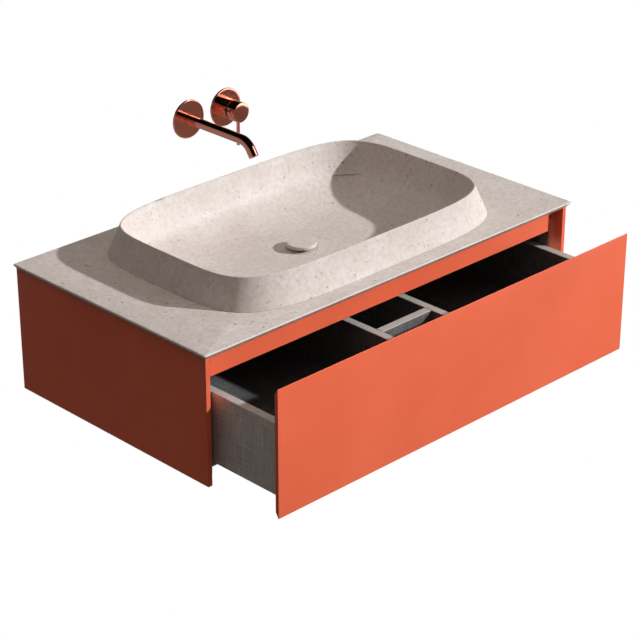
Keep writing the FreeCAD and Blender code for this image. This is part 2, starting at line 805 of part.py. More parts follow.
def make_handle(stick, lever):
    body = mixer_rod(grip_radius, handle_front, handle_back)
    front_rim = [edge for edge in body.Edges if edge.BoundBox.YMax < handle_front + 0.01]
    body = body.makeFillet(0.8, front_rim)
    hollow = mixer_rod(handle_bore, handle_back - handle_bore_depth, handle_back)
    return cut_all(body, [hollow, stick, lever])


add("mixer_disc", make_tap_disc(mixer_x, sleeve_bore))
add("mixer_sleeve", mixer_rod(grip_radius, sleeve_front, -tap_disc_thick).cut(
    mixer_rod(sleeve_bore, sleeve_front, -tap_disc_thick)))
add("cartridge", make_cartridge())
rotor = mixer_rod(neck_bore - 0.4, neck_front + 1, rotor_back)
rotor_slot = stick_block(stick_width / 2 + slot_gap, stick_height / 2 + 2.2, neck_front - 1, rotor_back - 1.5)
rotor_pin = cross_rod(pin_radius, neck_bore - 1.5)
add("cartridge_rotor", cut_all(rotor, [rotor_slot, rotor_pin]))
add("rotor_pin", rotor_pin)
stick_end = handle_back - handle_bore_depth - 5
stick = stick_block(stick_width / 2, stick_height / 2, stick_end, pivot_y + 2.6)
stick = stick.cut(cross_rod(pin_radius + 0.05, stick_width))
lever = make_lever()
add("cartridge_stick", stick)
add("lever", lever)
add("handle", make_handle(stick, lever))


lug_front = valve_depth - 16


def make_valve_body():
    mixer_axis = V(mixer_x, 0, tap_z)
    spout_axis = V(spout_x, 0, tap_z)
    middle_y = (valve_front + valve_depth) / 2
    housing = rod(valve_radius, mixer_axis + V(0, valve_front, 0), mixer_axis + V(0, valve_depth, 0))
    boss = rod(spout_radius + 7, spout_axis + V(0, valve_front, 0), spout_axis + V(0, valve_depth - 12, 0))
    bridge = rod(spout_radius + 1, spout_axis + V(0, middle_y, 0), mixer_axis + V(0, middle_y, 0))
    solids = [housing, boss, bridge]
    bores = [rod(cartridge_radius + 0.2, mixer_axis, mixer_axis + V(0, valve_bore_back, 0)),
             rod(spout_radius + 0.2, spout_axis, spout_axis + V(0, spout_tail + 1, 0))]
    for side in (-1, 1):
        foot = mixer_axis + V(side * inlet_offset, middle_y, -inlet_drop)
        solids.append(rod(inlet_radius, foot, foot + V(0, 0, inlet_drop - 14)))
        bores.append(rod(inlet_bore, foot, foot + V(0, 0, inlet_bore_length)))
    for axis in (mixer_axis, spout_axis):
        lug_top = tap_z + lug_rise + lug_half
        solids.append(box(axis.x - lug_half, axis.x + lug_half, lug_front, lug_front + 4, tap_z, lug_top))
        hole = axis + V(0, valve_front, lug_rise)
        bores.append(rod(lug_hole, hole, hole + V(0, valve_depth, 0)))
    return cut_all(joined(solids), bores)


add("valve_body", make_valve_body())

for name, shape in parts.items():
    shape.exportStep("parts/" + name + ".step")
print(len(parts), "nodes")
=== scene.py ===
# %% [markdown]
# A wall-hung bathroom vanity: a lacquered cabinet with one wide drawer, a thin stone top, a stone
# vessel basin and a two-hole copper wall tap. The finished CAD parts arrive as a fixed frame. Blender
# gives every piece its finish, and rebuilds the pieces whose soft edges the CAD model leaves out.

# %% Load the frame
import json
import math
import bpy
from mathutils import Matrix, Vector


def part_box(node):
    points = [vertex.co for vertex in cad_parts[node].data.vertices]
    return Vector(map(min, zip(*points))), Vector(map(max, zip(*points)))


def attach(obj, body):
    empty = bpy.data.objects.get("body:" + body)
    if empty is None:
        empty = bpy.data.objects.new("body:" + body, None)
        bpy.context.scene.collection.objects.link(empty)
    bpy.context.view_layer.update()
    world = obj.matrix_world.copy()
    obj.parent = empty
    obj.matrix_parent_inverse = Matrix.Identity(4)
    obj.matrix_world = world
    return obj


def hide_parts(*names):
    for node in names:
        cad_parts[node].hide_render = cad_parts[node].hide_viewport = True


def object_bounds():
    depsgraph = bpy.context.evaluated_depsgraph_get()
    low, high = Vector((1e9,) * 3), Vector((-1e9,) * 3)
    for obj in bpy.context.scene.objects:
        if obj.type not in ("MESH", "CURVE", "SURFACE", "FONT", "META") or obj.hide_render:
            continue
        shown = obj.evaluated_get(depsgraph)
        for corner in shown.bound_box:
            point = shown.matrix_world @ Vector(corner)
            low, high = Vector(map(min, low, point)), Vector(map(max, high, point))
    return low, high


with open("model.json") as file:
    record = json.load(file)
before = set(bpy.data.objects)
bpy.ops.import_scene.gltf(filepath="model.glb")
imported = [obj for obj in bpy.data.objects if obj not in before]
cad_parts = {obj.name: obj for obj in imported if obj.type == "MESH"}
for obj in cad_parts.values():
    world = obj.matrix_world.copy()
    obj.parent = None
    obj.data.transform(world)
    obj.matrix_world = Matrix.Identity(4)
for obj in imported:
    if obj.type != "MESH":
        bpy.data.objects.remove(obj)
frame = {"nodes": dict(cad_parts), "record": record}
nodes = frame["nodes"]
scene = bpy.context.scene
cad_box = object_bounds()
print("frame loaded:", len(nodes), "nodes")


# %% [markdown]
# Every finish needs variation at some scale: clouds in lacquer, smears on metal, threads on boards. A
# texture image would need unwrapping, so noise in the object's own metres is used instead. The
# shared effects are node groups, so each material only picks its own scale and strength.

# %% Node helpers
def new_group(name, inputs, outputs):
    """Empty node group with the named sockets; returns the group and its two end nodes."""
    group = bpy.data.node_groups.new(name, "ShaderNodeTree")
    for label, kind, value in inputs:
        socket = group.interface.new_socket(name=label, in_out="INPUT", socket_type=kind)
        if value is not None:
            socket.default_value = value
    for label, kind in outputs:
        group.interface.new_socket(name=label, in_out="OUTPUT", socket_type=kind)
    return group, group.nodes.new("NodeGroupInput"), group.nodes.new("NodeGroupOutput")


def calculate(tree, operation, first, second=None, third=None, clamp=False):
    """Math node; first, second and third are sockets or plain numbers."""
    node = tree.nodes.new("ShaderNodeMath")
    node.operation = operation
    node.use_clamp = clamp
    for socket, value in zip(node.inputs, (first, second, third)):
        if isinstance(value, (int, float)):
            socket.default_value = value
        elif value is not None:
            tree.links.new(value, socket)
    return node.outputs[0]


def noise(tree, vector, scale, detail=3.0, roughness=0.55):
    """Noise texture whose scale is a socket or a number of cells per metre."""
    node = tree.nodes.new("ShaderNodeTexNoise")
    node.inputs["Detail"].default_value = detail
    node.inputs["Roughness"].default_value = roughness
    if isinstance(scale, (int, float)):
        node.inputs["Scale"].default_value = scale
    else:
        tree.links.new(scale, node.inputs["Scale"])
    tree.links.new(vector, node.inputs["Vector"])
    return node.outputs["Fac"]


def stretched(tree, vector, stretch):
    """The vector scaled by a factor for each axis."""
    node = tree.nodes.new("ShaderNodeVectorMath")
    node.operation = "MULTIPLY"
    tree.links.new(vector, node.inputs[0])
    node.inputs[1].default_value = stretch
    return node.outputs["Vector"]


print("node helpers ready")


# %% Group: uneven, slow clouds round a middle value
def make_uneven():
    group, start, end = new_group(
        "uneven",
        [("Vector", "NodeSocketVector", None), ("Cells per metre", "NodeSocketFloat", 12.0),
         ("Middle", "NodeSocketFloat", 0.5), ("Swing", "NodeSocketFloat", 0.1)],
        [("Value", "NodeSocketFloat")])
    cloud = noise(group, start.outputs["Vector"], start.outputs["Cells per metre"])
    centred = calculate(group, "SUBTRACT", cloud, 0.5)
    swung = calculate(group, "MULTIPLY", centred, start.outputs["Swing"])
    value = calculate(group, "ADD", swung, start.outputs["Middle"], clamp=True)
    group.links.new(value, end.inputs["Value"])
    return group


uneven = make_uneven()
print("group made:", uneven.name)


# %% [markdown]
# Cast stone holds small hard grains, and some places hold more of them than others. An image of dots
# would repeat. A cell pattern gives each chosen cell one grain of its own size. Its cells are looked
# up in bent space, which makes the grains ragged, and a slow noise crowds them.

# %% Group: chips, small hard grains such as those in cast stone
bend_cells = 380.0
bend_depth = 0.009
crowd_cells = 22.0
crowd_floor = 0.32
crowd_gain = 5.5
smallest_grain = 0.3
grain_edge = 4.0


def bent(group, vector):
    """The vector moved a little by a fine noise."""
    bend = group.nodes.new("ShaderNodeTexNoise")
    bend.inputs["Scale"].default_value = bend_cells
    bend.inputs["Detail"].default_value = 5.0
    bend.inputs["Roughness"].default_value = 0.7
    group.links.new(vector, bend.inputs["Vector"])
    shift = group.nodes.new("ShaderNodeVectorMath")
    shift.operation = "MULTIPLY_ADD"
    shift.inputs[1].default_value = (bend_depth, bend_depth, bend_depth)
    group.links.new(bend.outputs["Color"], shift.inputs[0])
    group.links.new(vector, shift.inputs[2])
    return shift.outputs["Vector"]


def make_chips():
    group, start, end = new_group(
        "chips",
        [("Vector", "NodeSocketVector", None), ("Cells per metre", "NodeSocketFloat", 150.0),
         ("Share", "NodeSocketFloat", 0.3), ("Size", "NodeSocketFloat", 0.25)],
        [("Mask", "NodeSocketFloat")])
    cell = group.nodes.new("ShaderNodeTexVoronoi")
    group.links.new(bent(group, start.outputs["Vector"]), cell.inputs["Vector"])
    group.links.new(start.outputs["Cells per metre"], cell.inputs["Scale"])
    pick = group.nodes.new("ShaderNodeSeparateColor")
    group.links.new(cell.outputs["Color"], pick.inputs["Color"])
    crowd = noise(group, start.outputs["Vector"], crowd_cells, detail=2.0)
    over_floor = calculate(group, "SUBTRACT", crowd, crowd_floor, clamp=True)
    crowding = calculate(group, "MULTIPLY", over_floor, crowd_gain)
    share = calculate(group, "MULTIPLY", start.outputs["Share"], crowding)
    chosen = calculate(group, "LESS_THAN", pick.outputs["Red"], share)
    spread = calculate(group, "MULTIPLY_ADD", pick.outputs["Green"], 1 - smallest_grain, smallest_grain)
    reach = calculate(group, "MULTIPLY", spread, start.outputs["Size"])
    edge = calculate(group, "DIVIDE", cell.outputs["Distance"], reach)
    falling = calculate(group, "SUBTRACT", 1.0, edge)
    solid = calculate(group, "MULTIPLY", falling, grain_edge, clamp=True)
    mask = calculate(group, "MULTIPLY", solid, chosen, clamp=True)
    group.links.new(mask, end.inputs["Mask"])
    return group


chips = make_chips()
print("group made:", chips.name)


# %% [markdown]
# Woven cloth shows two sets of threads that cross. A noise drawn out along one axis looks like a set
# of threads that run along it. Three such noises, one for each axis, cover a board whichever way it
# stands, so no face needs its own direction.

# %% Group: threads, a plain weave on whichever way a board's face points
def make_threads():
    group, start, end = new_group(
        "threads",
        [("Vector", "NodeSocketVector", None), ("Threads per metre", "NodeSocketFloat", 900.0),
         ("Length", "NodeSocketFloat", 0.06)],
        [("Tone", "NodeSocketFloat"), ("Height", "NodeSocketFloat")])
    run = start.outputs["Length"]
    sets = []
    for axis in range(3):
        squeeze = group.nodes.new("ShaderNodeCombineXYZ")
        for other in range(3):
            squeeze.inputs[other].default_value = 1.0
        group.links.new(run, squeeze.inputs[axis])
        along = group.nodes.new("ShaderNodeVectorMath")
        along.operation = "MULTIPLY"
        group.links.new(start.outputs["Vector"], along.inputs[0])
        group.links.new(squeeze.outputs["Vector"], along.inputs[1])
        sets.append(noise(group, along.outputs["Vector"], start.outputs["Threads per metre"], 2.0))
    pair = calculate(group, "ADD", sets[0], sets[1])
    total = calculate(group, "ADD", pair, sets[2])
    tone = calculate(group, "DIVIDE", total, 3.0)
    highest = calculate(group, "MAXIMUM", calculate(group, "MAXIMUM", sets[0], sets[1]), sets[2])
    group.links.new(tone, end.inputs["Tone"])
    group.links.new(highest, end.inputs["Height"])
    return group


threads = make_threads()
print("group made:", threads.name)


# %% Material helpers
def place(tree, group, vector, **values):
    """A node group in a material, fed with the object's own coordinates."""
    node = tree.nodes.new("ShaderNodeGroup")
    node.node_tree = group
    tree.links.new(vector, node.inputs["Vector"])
    for label, value in values.items():
        node.inputs[label.replace("_", " ")].default_value = value
    return node.outputs


def start_material(name, metallic=0.0, roughness=0.5):
    """New material with its node tree, its shader and the object's own coordinates."""
    material = bpy.data.materials.new(name)
    material.use_nodes = True
    tree = material.node_tree
    shader = tree.nodes["Principled BSDF"]
    shader.inputs["Metallic"].default_value = metallic
    shader.inputs["Roughness"].default_value = roughness
    where = tree.nodes.new("ShaderNodeTexCoord").outputs["Object"]
    return material, tree, shader, where


def blend_colours(tree, amount, first, second):
    """Mix node, whose colour sockets are inputs 6 and 7; first and second are colours or sockets."""
    node = tree.nodes.new("ShaderNodeMix")
    node.data_type = "RGBA"
    tree.links.new(amount, node.inputs["Factor"])
    for socket, value in ((node.inputs[6], first), (node.inputs[7], second)):
        if isinstance(value, tuple):
            socket.default_value = (*value, 1.0)
        else:
            tree.links.new(value, socket)
    return node.outputs[2]


def add_bump(tree, shader, height, strength, distance):
    """Tilts the surface by a height that is distance metres at most, and less with less strength."""
    node = tree.nodes.new("ShaderNodeBump")
    node.inputs["Strength"].default_value = strength
    node.inputs["Distance"].default_value = distance
    tree.links.new(height, node.inputs["Height"])
    tree.links.new(node.outputs["Normal"], shader.inputs["Normal"])


print("material helpers ready")


# %% [markdown]
# The top, the basin and the drain cap are one cast stone: a pale beige ground with sparse dark, rust
# and white grains and a few pores. Real chips are cut through by the surface, which is what cells of a
# 3-D Voronoi pattern give: each one that the surface crosses shows as an irregular spot.

# %% Stone
def make_stone():
    material, tree, shader, where = start_material("stone_pale_cast", roughness=0.55)
    shader.inputs["Specular IOR Level"].default_value = 0.3
    cloud = place(tree, uneven, where, Cells_per_metre=14.0, Middle=0.5, Swing=1.9)["Value"]
    ground = blend_colours(tree, cloud, (0.55, 0.475, 0.425), (0.64, 0.58, 0.54))
    fine = place(tree, uneven, where, Cells_per_metre=110.0, Middle=0.22, Swing=1.7)["Value"]
    ground = blend_colours(tree, fine, ground, (0.45, 0.38, 0.335))
    # cells per metre, share of cells with a grain, size in cells, colour, strength of the colour
    grains = {
        "white": (170.0, 0.10, 0.30, (0.76, 0.73, 0.69), 0.55),
        "rust": (75.0, 0.14, 0.25, (0.38, 0.22, 0.155), 0.55),
        "pore": (170.0, 0.15, 0.36, (0.13, 0.10, 0.085), 0.60),
        "dark": (70.0, 0.15, 0.24, (0.15, 0.12, 0.10), 0.70),
    }
    masks = {}
    for kind, (cells, share, size, colour, strength) in grains.items():
        grain = place(tree, chips, where, Cells_per_metre=cells, Share=share, Size=size)
        masks[kind] = calculate(tree, "MULTIPLY", grain["Mask"], strength)
        ground = blend_colours(tree, masks[kind], ground, colour)
    tree.links.new(ground, shader.inputs["Base Color"])
    rough = place(tree, uneven, where, Cells_per_metre=60.0, Middle=0.56, Swing=0.3)["Value"]
    tree.links.new(rough, shader.inputs["Roughness"])
    sunk = calculate(tree, "SUBTRACT", fine, masks["pore"])
    add_bump(tree, shader, sunk, strength=0.18, distance=0.0006)
    return material


stone = make_stone()
print("material made:", stone.name)


# %% [markdown]
# The cabinet's outside is satin coral lacquer, sprayed on board. Sprayed lacquer is never quite flat:
# it has a faint orange peel, and its gloss drifts a little. A plain colour would look printed on wide
# panels, so low noise moves the colour and the roughness. The satin kind has hardly any clear coat,
# and the gloss kind, for the metal profiles, has a full one.

# %% Lacquer
def make_lacquer(name, coat, coat_rough):
    """Coral lacquer under a clear coat of the given weight and roughness."""
    material, tree, shader, where = start_material(name, roughness=0.42)
    cloud = place(tree, uneven, where, Cells_per_metre=5.0, Middle=0.5, Swing=1.6)["Value"]
    colour = blend_colours(tree, cloud, (0.71, 0.116, 0.052), (0.79, 0.150, 0.070))
    dust = place(tree, chips, where, Cells_per_metre=420.0, Share=0.03, Size=0.16)["Mask"]
    faint_dust = calculate(tree, "MULTIPLY", dust, 0.25)
    colour = blend_colours(tree, faint_dust, colour, (0.78, 0.30, 0.2))
    tree.links.new(colour, shader.inputs["Base Color"])
    rough = place(tree, uneven, where, Cells_per_metre=16.0, Middle=0.40, Swing=0.28)["Value"]
    tree.links.new(rough, shader.inputs["Roughness"])
    peel = noise(tree, where, scale=380.0, detail=2.0)
    add_bump(tree, shader, peel, strength=0.06, distance=0.0004)
    shader.inputs["Specular IOR Level"].default_value = 0.12
    shader.inputs["Coat Weight"].default_value = coat
    shader.inputs["Coat Roughness"].default_value = coat_rough
    return material


lacquer = make_lacquer("coral_satin_lacquer", coat=0.03, coat_rough=0.2)
gloss_lacquer = make_lacquer("coral_gloss_lacquer", coat=1.0, coat_rough=0.12)
print("materials made:", lacquer.name, gloss_lacquer.name)


# %% [markdown]
# Drawer boards wear a greige laminate printed and pressed like linen, and the carcass a finer, darker
# board. A darker copy of the linen is painted shade on the drawer's inside. A flat colour would lose
# the cloth, and a texture image would need unwrapping, so the threads group gives both the colour and
# the pressed height.

# %% Boards
def make_board(name, dark, light, per_metre, bump):
    """Laminate whose threads run from the dark to the light colour."""
    material, tree, shader, where = start_material(name, roughness=0.6)
    weave = place(tree, threads, where, Threads_per_metre=per_metre, Length=0.05)
    ramp = tree.nodes.new("ShaderNodeMapRange")
    ramp.inputs["From Min"].default_value = 0.40
    ramp.inputs["From Max"].default_value = 0.60
    tree.links.new(weave["Tone"], ramp.inputs["Value"])
    colour = blend_colours(tree, ramp.outputs["Result"], dark, light)
    cloud = place(tree, uneven, where, Cells_per_metre=7.0, Middle=0.25, Swing=0.7)["Value"]
    colour = blend_colours(tree, cloud, colour, dark)
    tree.links.new(colour, shader.inputs["Base Color"])
    rough = place(tree, uneven, where, Cells_per_metre=90.0, Middle=0.62, Swing=0.25)["Value"]
    tree.links.new(rough, shader.inputs["Roughness"])
    add_bump(tree, shader, weave["Height"], bump, distance=0.0005)
    return material


linen = make_board("linen_laminate_greige", dark=(0.40, 0.37, 0.335), light=(0.74, 0.70, 0.64),
                   per_metre=380.0, bump=0.4)
# A darker copy of the same linen: painted shade for the faces inside the drawer.
linen_painted_shade = make_board("linen_laminate_painted_shade", dark=(0.06, 0.062, 0.061), light=(0.18, 0.177, 0.17),
                          per_metre=380.0, bump=0.4)
carcass = make_board("carcass_board_grey", dark=(0.135, 0.13, 0.115), light=(0.21, 0.205, 0.185),
                     per_metre=1200.0, bump=0.15)
print("materials made:", linen.name, linen_painted_shade.name, carcass.name)


# %% [markdown]
# The tap is polished copper, the trap is chromed brass, and the hidden fittings are raw brass and
# zinc-plated steel. Bare metal takes its look from what it mirrors, so painted highlights would be
# wrong from any other side. The colour stays nearly even, and the roughness carries the fine polishing
# lines and smears.

# %% Metals
def make_metal(name, colour, deep, rough, swing, lines):
    """Bare metal; swing is how far smears move the roughness, lines how far polishing does."""
    material, tree, shader, where = start_material(name, metallic=1.0, roughness=rough)
    tone = place(tree, uneven, where, Cells_per_metre=24.0, Middle=0.35, Swing=0.9)["Value"]
    tree.links.new(blend_colours(tree, tone, colour, deep), shader.inputs["Base Color"])
    smear = place(tree, uneven, where, Cells_per_metre=45.0, Middle=rough, Swing=swing)["Value"]
    polish = noise(tree, stretched(tree, where, (1.0, 0.08, 1.0)), scale=1800.0, detail=1.0)
    fine = calculate(tree, "MULTIPLY", calculate(tree, "SUBTRACT", polish, 0.5), lines)
    tree.links.new(calculate(tree, "ADD", smear, fine, clamp=True), shader.inputs["Roughness"])
    add_bump(tree, shader, polish, strength=0.03, distance=0.0001)
    return material


copper = make_metal("rose_copper_polished", colour=(0.76, 0.31, 0.225), deep=(0.66, 0.24, 0.165),
                    rough=0.09, swing=0.06, lines=0.03)
chrome = make_metal("chromed_brass_tube", colour=(0.72, 0.73, 0.74), deep=(0.60, 0.61, 0.63),
                    rough=0.10, swing=0.10, lines=0.05)
brass = make_metal("raw_brass_casting", colour=(0.66, 0.48, 0.22), deep=(0.42, 0.29, 0.13),
                   rough=0.38, swing=0.25, lines=0.12)
zinc = make_metal("zinc_plated_steel", colour=(0.56, 0.57, 0.58), deep=(0.40, 0.42, 0.45),
                  rough=0.34, swing=0.25, lines=0.15)
print("metals made: 4")


# %% [markdown]
# The mixer's cartridge and the drawer's dampers are moulded plastic, and the seals and the drawer's
# bumpers are black rubber. Both come out of a mould with a fine matt grain. Its dents are far smaller
# than the pieces' own edges, so a small bump shows them and no mesh has to.

# %% Plastic and rubber
def make_moulded(name, colour, worn, rough, grain, bump):
    """Moulded material; grain is cells per metre of the mould's texture."""
    material, tree, shader, where = start_material(name, roughness=rough)
    tone = place(tree, uneven, where, Cells_per_metre=40.0, Middle=0.3, Swing=0.8)["Value"]
    tree.links.new(blend_colours(tree, tone, colour, worn), shader.inputs["Base Color"])
    matt = place(tree, uneven, where, Cells_per_metre=150.0, Middle=rough, Swing=0.3)["Value"]
    tree.links.new(matt, shader.inputs["Roughness"])
    add_bump(tree, shader, noise(tree, where, grain, detail=2.0), bump, distance=0.0003)
    return material


plastic = make_moulded("grey_plastic_moulded", colour=(0.30, 0.31, 0.32), worn=(0.42, 0.43, 0.44),
                       rough=0.45, grain=2400.0, bump=0.15)
rubber = make_moulded("seal_rubber_black", colour=(0.035, 0.035, 0.037), worn=(0.07, 0.07, 0.072),
                      rough=0.7, grain=1500.0, bump=0.25)
print("moulded materials made: 2")


# %% [markdown]
# Most pieces are right as the CAD has them, apart from their knife-sharp edges. A real edge is broken
# by half a millimetre on a board, and by less on metal, and catches a line of light. Edges could be cut
# in the mesh, but a bevel modifier gives the same line and leaves the CAD mesh untouched.

# %% Finish the CAD nodes
slot_material = {
    "stone": stone, "seal_rubber": rubber, "raw_brass": brass, "chromed_brass": chrome,
    "rose_copper": copper, "coral_lacquer": lacquer, "carcass_board": carcass,
    "linen_laminate": linen, "zinc_steel": zinc, "grey_plastic": plastic,
}
board_edge = 0.0006
metal_edge = 0.0003
node_slot = {}
for part in frame["record"]["subparts"]:
    node_slot[part["node"]] = part["material_slot"]


def soften_edges(piece, width, angle=35.0):
    """Joins the mesh's split faces, breaks its sharp edges and keeps wide faces flat."""
    weld = piece.modifiers.new("join", "WELD")
    weld.merge_threshold = 0.00001
    bevel = piece.modifiers.new("broken edge", "BEVEL")
    bevel.width = width
    bevel.segments = 2
    bevel.angle_limit = math.radians(angle)
    bevel.use_clamp_overlap = False
    piece.modifiers.new("flat faces", "WEIGHTED_NORMAL")


for node, slot in node_slot.items():
    piece = nodes[node]
    piece.data.materials.clear()
    piece.data.materials.append(slot_material[slot])
    piece.data.polygons.foreach_set("use_smooth", [True] * len(piece.data.polygons))
    is_board = slot in ("coral_lacquer", "carcass_board", "linen_laminate")
    soften_edges(piece, board_edge if is_board else metal_edge)
print("finished CAD nodes:", len(node_slot))


# %% [markdown]
# The hollow grip profiles are drawn metal, so their coral takes a gloss coat, while the boards round
# them are satin.

# %% Gloss on the grip profiles
for node in ("left_grip_profile", "right_grip_profile"):
    nodes[node].data.materials.clear()
    nodes[node].data.materials.append(gloss_lacquer)
print("glossed grip profiles: 2")


# %% [markdown]
# The carcass sides are grey board, but the narrow front edge beside each finger groove is lacquered
# with the groove. The CAD has it on the same solid, so its polygons get the second material.

# %% Lacquer the carcass sides' front edges
edge_depth = 0.001


def facing(polygon, axis, direction):
    """True if the polygon looks along the axis, in the direction of the sign."""
    return polygon.normal[axis] * direction > 0.9


for node in ("left_carcass_side", "right_carcass_side"):
    mesh = nodes[node].data
    mesh.materials.append(lacquer)
    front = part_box(node)[0].y
    painted = 0
    for polygon in mesh.polygons:
        if facing(polygon, 1, -1.0) and abs(polygon.center.y - front) < edge_depth:
            polygon.material_index = 1
            painted += 1
    print(node, "front polygons lacquered:", painted)


# %% [markdown]
# The waste's flange lies level with the bowl's floor, right under the cap. It is faced in the bowl's
# own stone, so that no metal shows round the cap. Its upward polygons get the stone.

# %% Face the waste's flange
flange_thick = 0.004
flange = nodes["waste_body"].data
flange.materials.append(stone)
flange_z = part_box("waste_body")[1].z
for polygon in flange.polygons:
    if facing(polygon, 2, 1.0) and flange_z - polygon.center.z < flange_thick:
        polygon.material_index = 1
print("flange faced")


# %% [markdown]
# The faces that look into the drawer's compartments, and its floor, wear a darker copy of the same
# linen: painted shade for the drawer's dark inside. Each board's inner faces are found by the way they
# point, so the CAD's own faces can be painted, and no dark sheet has to be added as a piece.

# %% Paint shade on the drawer's inner faces
# Each board, with the axis and sign of the faces that get the painted shade.
shade_painted = {
    "drawer_left_side": [(0, 1.0)], "drawer_right_side": [(0, -1.0)],
    "drawer_left_divider": [(0, -1.0), (0, 1.0)], "drawer_right_divider": [(0, -1.0), (0, 1.0)],
    "drawer_cross_wall": [(1, -1.0)], "drawer_box_front": [(1, 1.0)], "drawer_floor": [(2, 1.0)],
    "drawer_left_back": [(1, -1.0)], "drawer_right_back": [(1, -1.0)],
}
for node, ways in shade_painted.items():
    mesh = nodes[node].data
    mesh.materials.append(linen_painted_shade)
    for polygon in mesh.polygons:
        if any(facing(polygon, axis, way) for axis, way in ways):
            polygon.material_index = 1
print("lined boards:", len(shade_painted))


# %% [markdown]
# The softer pieces are stacks of closed loops: each loop is one level of the shape, and neighbouring
# loops are joined by strips of four-sided faces. A basin, a slab, a drawer front and every turned
# metal piece can be made this way, with as many loops as a rounded edge needs.

# %% Build a piece from stacked loops
def make_piece(name, points, faces, material, body, crease=32.0):
    """Mesh object with its finish and CAD body."""
    mesh = bpy.data.meshes.new(name)
    mesh.from_pydata([tuple(point) for point in points], [], faces)
    mesh.update()
    mesh.shade_smooth()
    mesh.set_sharp_from_angle(angle=math.radians(crease))
    mesh.materials.append(material)
    piece = bpy.data.objects.new(name, mesh)
    scene.collection.objects.link(piece)
    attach(piece, body)
    print("piece made:", name, len(mesh.vertices), "points")
    return piece


def stack_loops(loops, ring=False):
    """Joins equal loops of points; a ring's last loop meets its first, otherwise both ends are capped."""
    count = len(loops[0])
    points = [point for loop in loops for point in loop]
    faces = []
    levels = len(loops) if ring else len(loops) - 1
    for level in range(levels):
        here = level * count
        there = (level + 1) % len(loops) * count
        for i in range(count):
            j = (i + 1) % count
            faces.append((here + i, here + j, there + j, there + i))
    if not ring:
        faces.append(tuple(reversed(range(count))))
        faces.append(tuple(range((len(loops) - 1) * count, len(loops) * count)))
    return points, faces


def quarter(steps=5):
    """Sine and one minus cosine down a quarter turn, for rounding an edge."""
    turns = [math.pi / 2 * step / steps for step in range(steps + 1)]
    return [(math.sin(turn), 1 - math.cos(turn)) for turn in turns]


# %% [markdown]
# The basin is a rounded rectangle whose sides lean in to a thin rim. Its outline at every level is a
# superellipse. A rectangle with arcs for corners would show where each arc begins, but a superellipse
# keeps long, nearly straight sides and full, even corners without a seam between them.

# %% Basin measures
top_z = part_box("countertop")[1].z
basin_low, basin_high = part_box("basin")
rim_z = basin_high.z
centre_y = (basin_low.y + basin_high.y) / 2
foot_a = basin_high.x
foot_b = (basin_high.y - basin_low.y) / 2
near_rim = 0.0002
rim_points = [v.co for v in nodes["basin"].data.vertices if v.co.z > rim_z - near_rim]
rim_a = max(point.x for point in rim_points)
rim_b = max(point.y for point in rim_points) - centre_y
floor_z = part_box("waste_body")[1].z
foot_power = 4.6
rim_power = 4.9
floor_power = 3.0
rim_width = 0.004
shell = 0.012
print("basin rim half sizes:", round(rim_a, 4), round(rim_b, 4), "depth:", round(rim_z - floor_z, 4))


# %% Basin outline at one level
loop_points = 256


def basin_loop(a, b, power, z):
    """Superellipse with half sizes a and b; power 2 is an ellipse, a higher one is squarer."""
    loop = []
    for i in range(loop_points):
        turn = 2 * math.pi * i / loop_points
        across = math.cos(turn)
        along = math.sin(turn)
        x = math.copysign(a * abs(across) ** (2 / power), across)
        y = math.copysign(b * abs(along) ** (2 / power), along)
        loop.append((x, centre_y + y, z))
    return loop


print("points in a basin outline:", loop_points)


# %% [markdown]
# Inside the basin the wall, the fillet and the floor have to run into each other without a crease,
# because a smooth bowl shows every line. The wall leans and bows a little, and the fillet is a part of
# a stretched circle. It starts at the angle where its slope is the wall's own, found by a few rounds
# of trying, and it ends level with the floor.

# %% Basin's inner wall
wall_lean = 0.022
wall_bow = 0.2
wall_steps = 8
fillet_run = 0.115
fillet_rise = 0.042
fillet_steps = 24
rounds_of_trying = 8
floor_rings = (0.001, 0.004, 0.02)


def fillet_start_turn(wall_depth):
    """Angle at which the fillet is as steep as the foot of the wall."""
    slope = (1 + wall_bow) * wall_lean / wall_depth
    turn = 0.0
    for _ in range(rounds_of_trying):
        turn = math.atan(slope * fillet_rise / fillet_run / (1 - math.sin(turn)))
    return turn


def inner_wall():
    """Inset from the rim's inner edge and height, from the rim down to the floor."""
    wall_depth = rim_z - floor_z - fillet_rise
    rows = []
    for step in range(wall_steps):
        share = step / wall_steps
        lean = (1 - wall_bow) * share + wall_bow * share * share
        rows.append((wall_lean * lean, rim_z - wall_depth * share))
    start_turn = fillet_start_turn(wall_depth)
    full_drop = 1 - math.sin(start_turn)
    for step in range(fillet_steps + 1):
        turn = start_turn + (math.pi / 2 - start_turn) * step / fillet_steps
        inset = wall_lean + fillet_run * (math.cos(start_turn) - math.cos(turn))
        fall = (math.sin(turn) - math.sin(start_turn)) / full_drop
        rows.append((inset, rim_z - wall_depth - fillet_rise * fall))
    fillet_end = rows[-1][0]
    for ring in floor_rings:
        rows.append((fillet_end + ring, floor_z))
    return rows


def below_slab(rows):
    """The rows whose outer face, one shell away, lies under the slab's top."""
    return [row for row in rows if row[1] - shell < top_z]


def wall_loops(rows, grow, lower):
    """Outlines for the rows, grown outwards and lowered by a shell's thickness or by nothing."""
    loops = []
    deepest = rows[-1][0]
    for inset, z in rows:
        power = rim_power + (floor_power - rim_power) * inset / deepest
        away = grow - rim_width - inset
        loops.append(basin_loop(rim_a + away, rim_b + away, power, z - lower))
    return loops


print("rows in the inner wall:", len(inner_wall()))


# %% [markdown]
# The basin is cast in one piece, so it is one closed mesh. The loops go over the rim, down the inner
# wall, through the waste's hole, back up the outside under the slab, and out along the foot, where a
# shallow groove takes the seal. The last strip, from the foot up to the rim, is the leaning side.

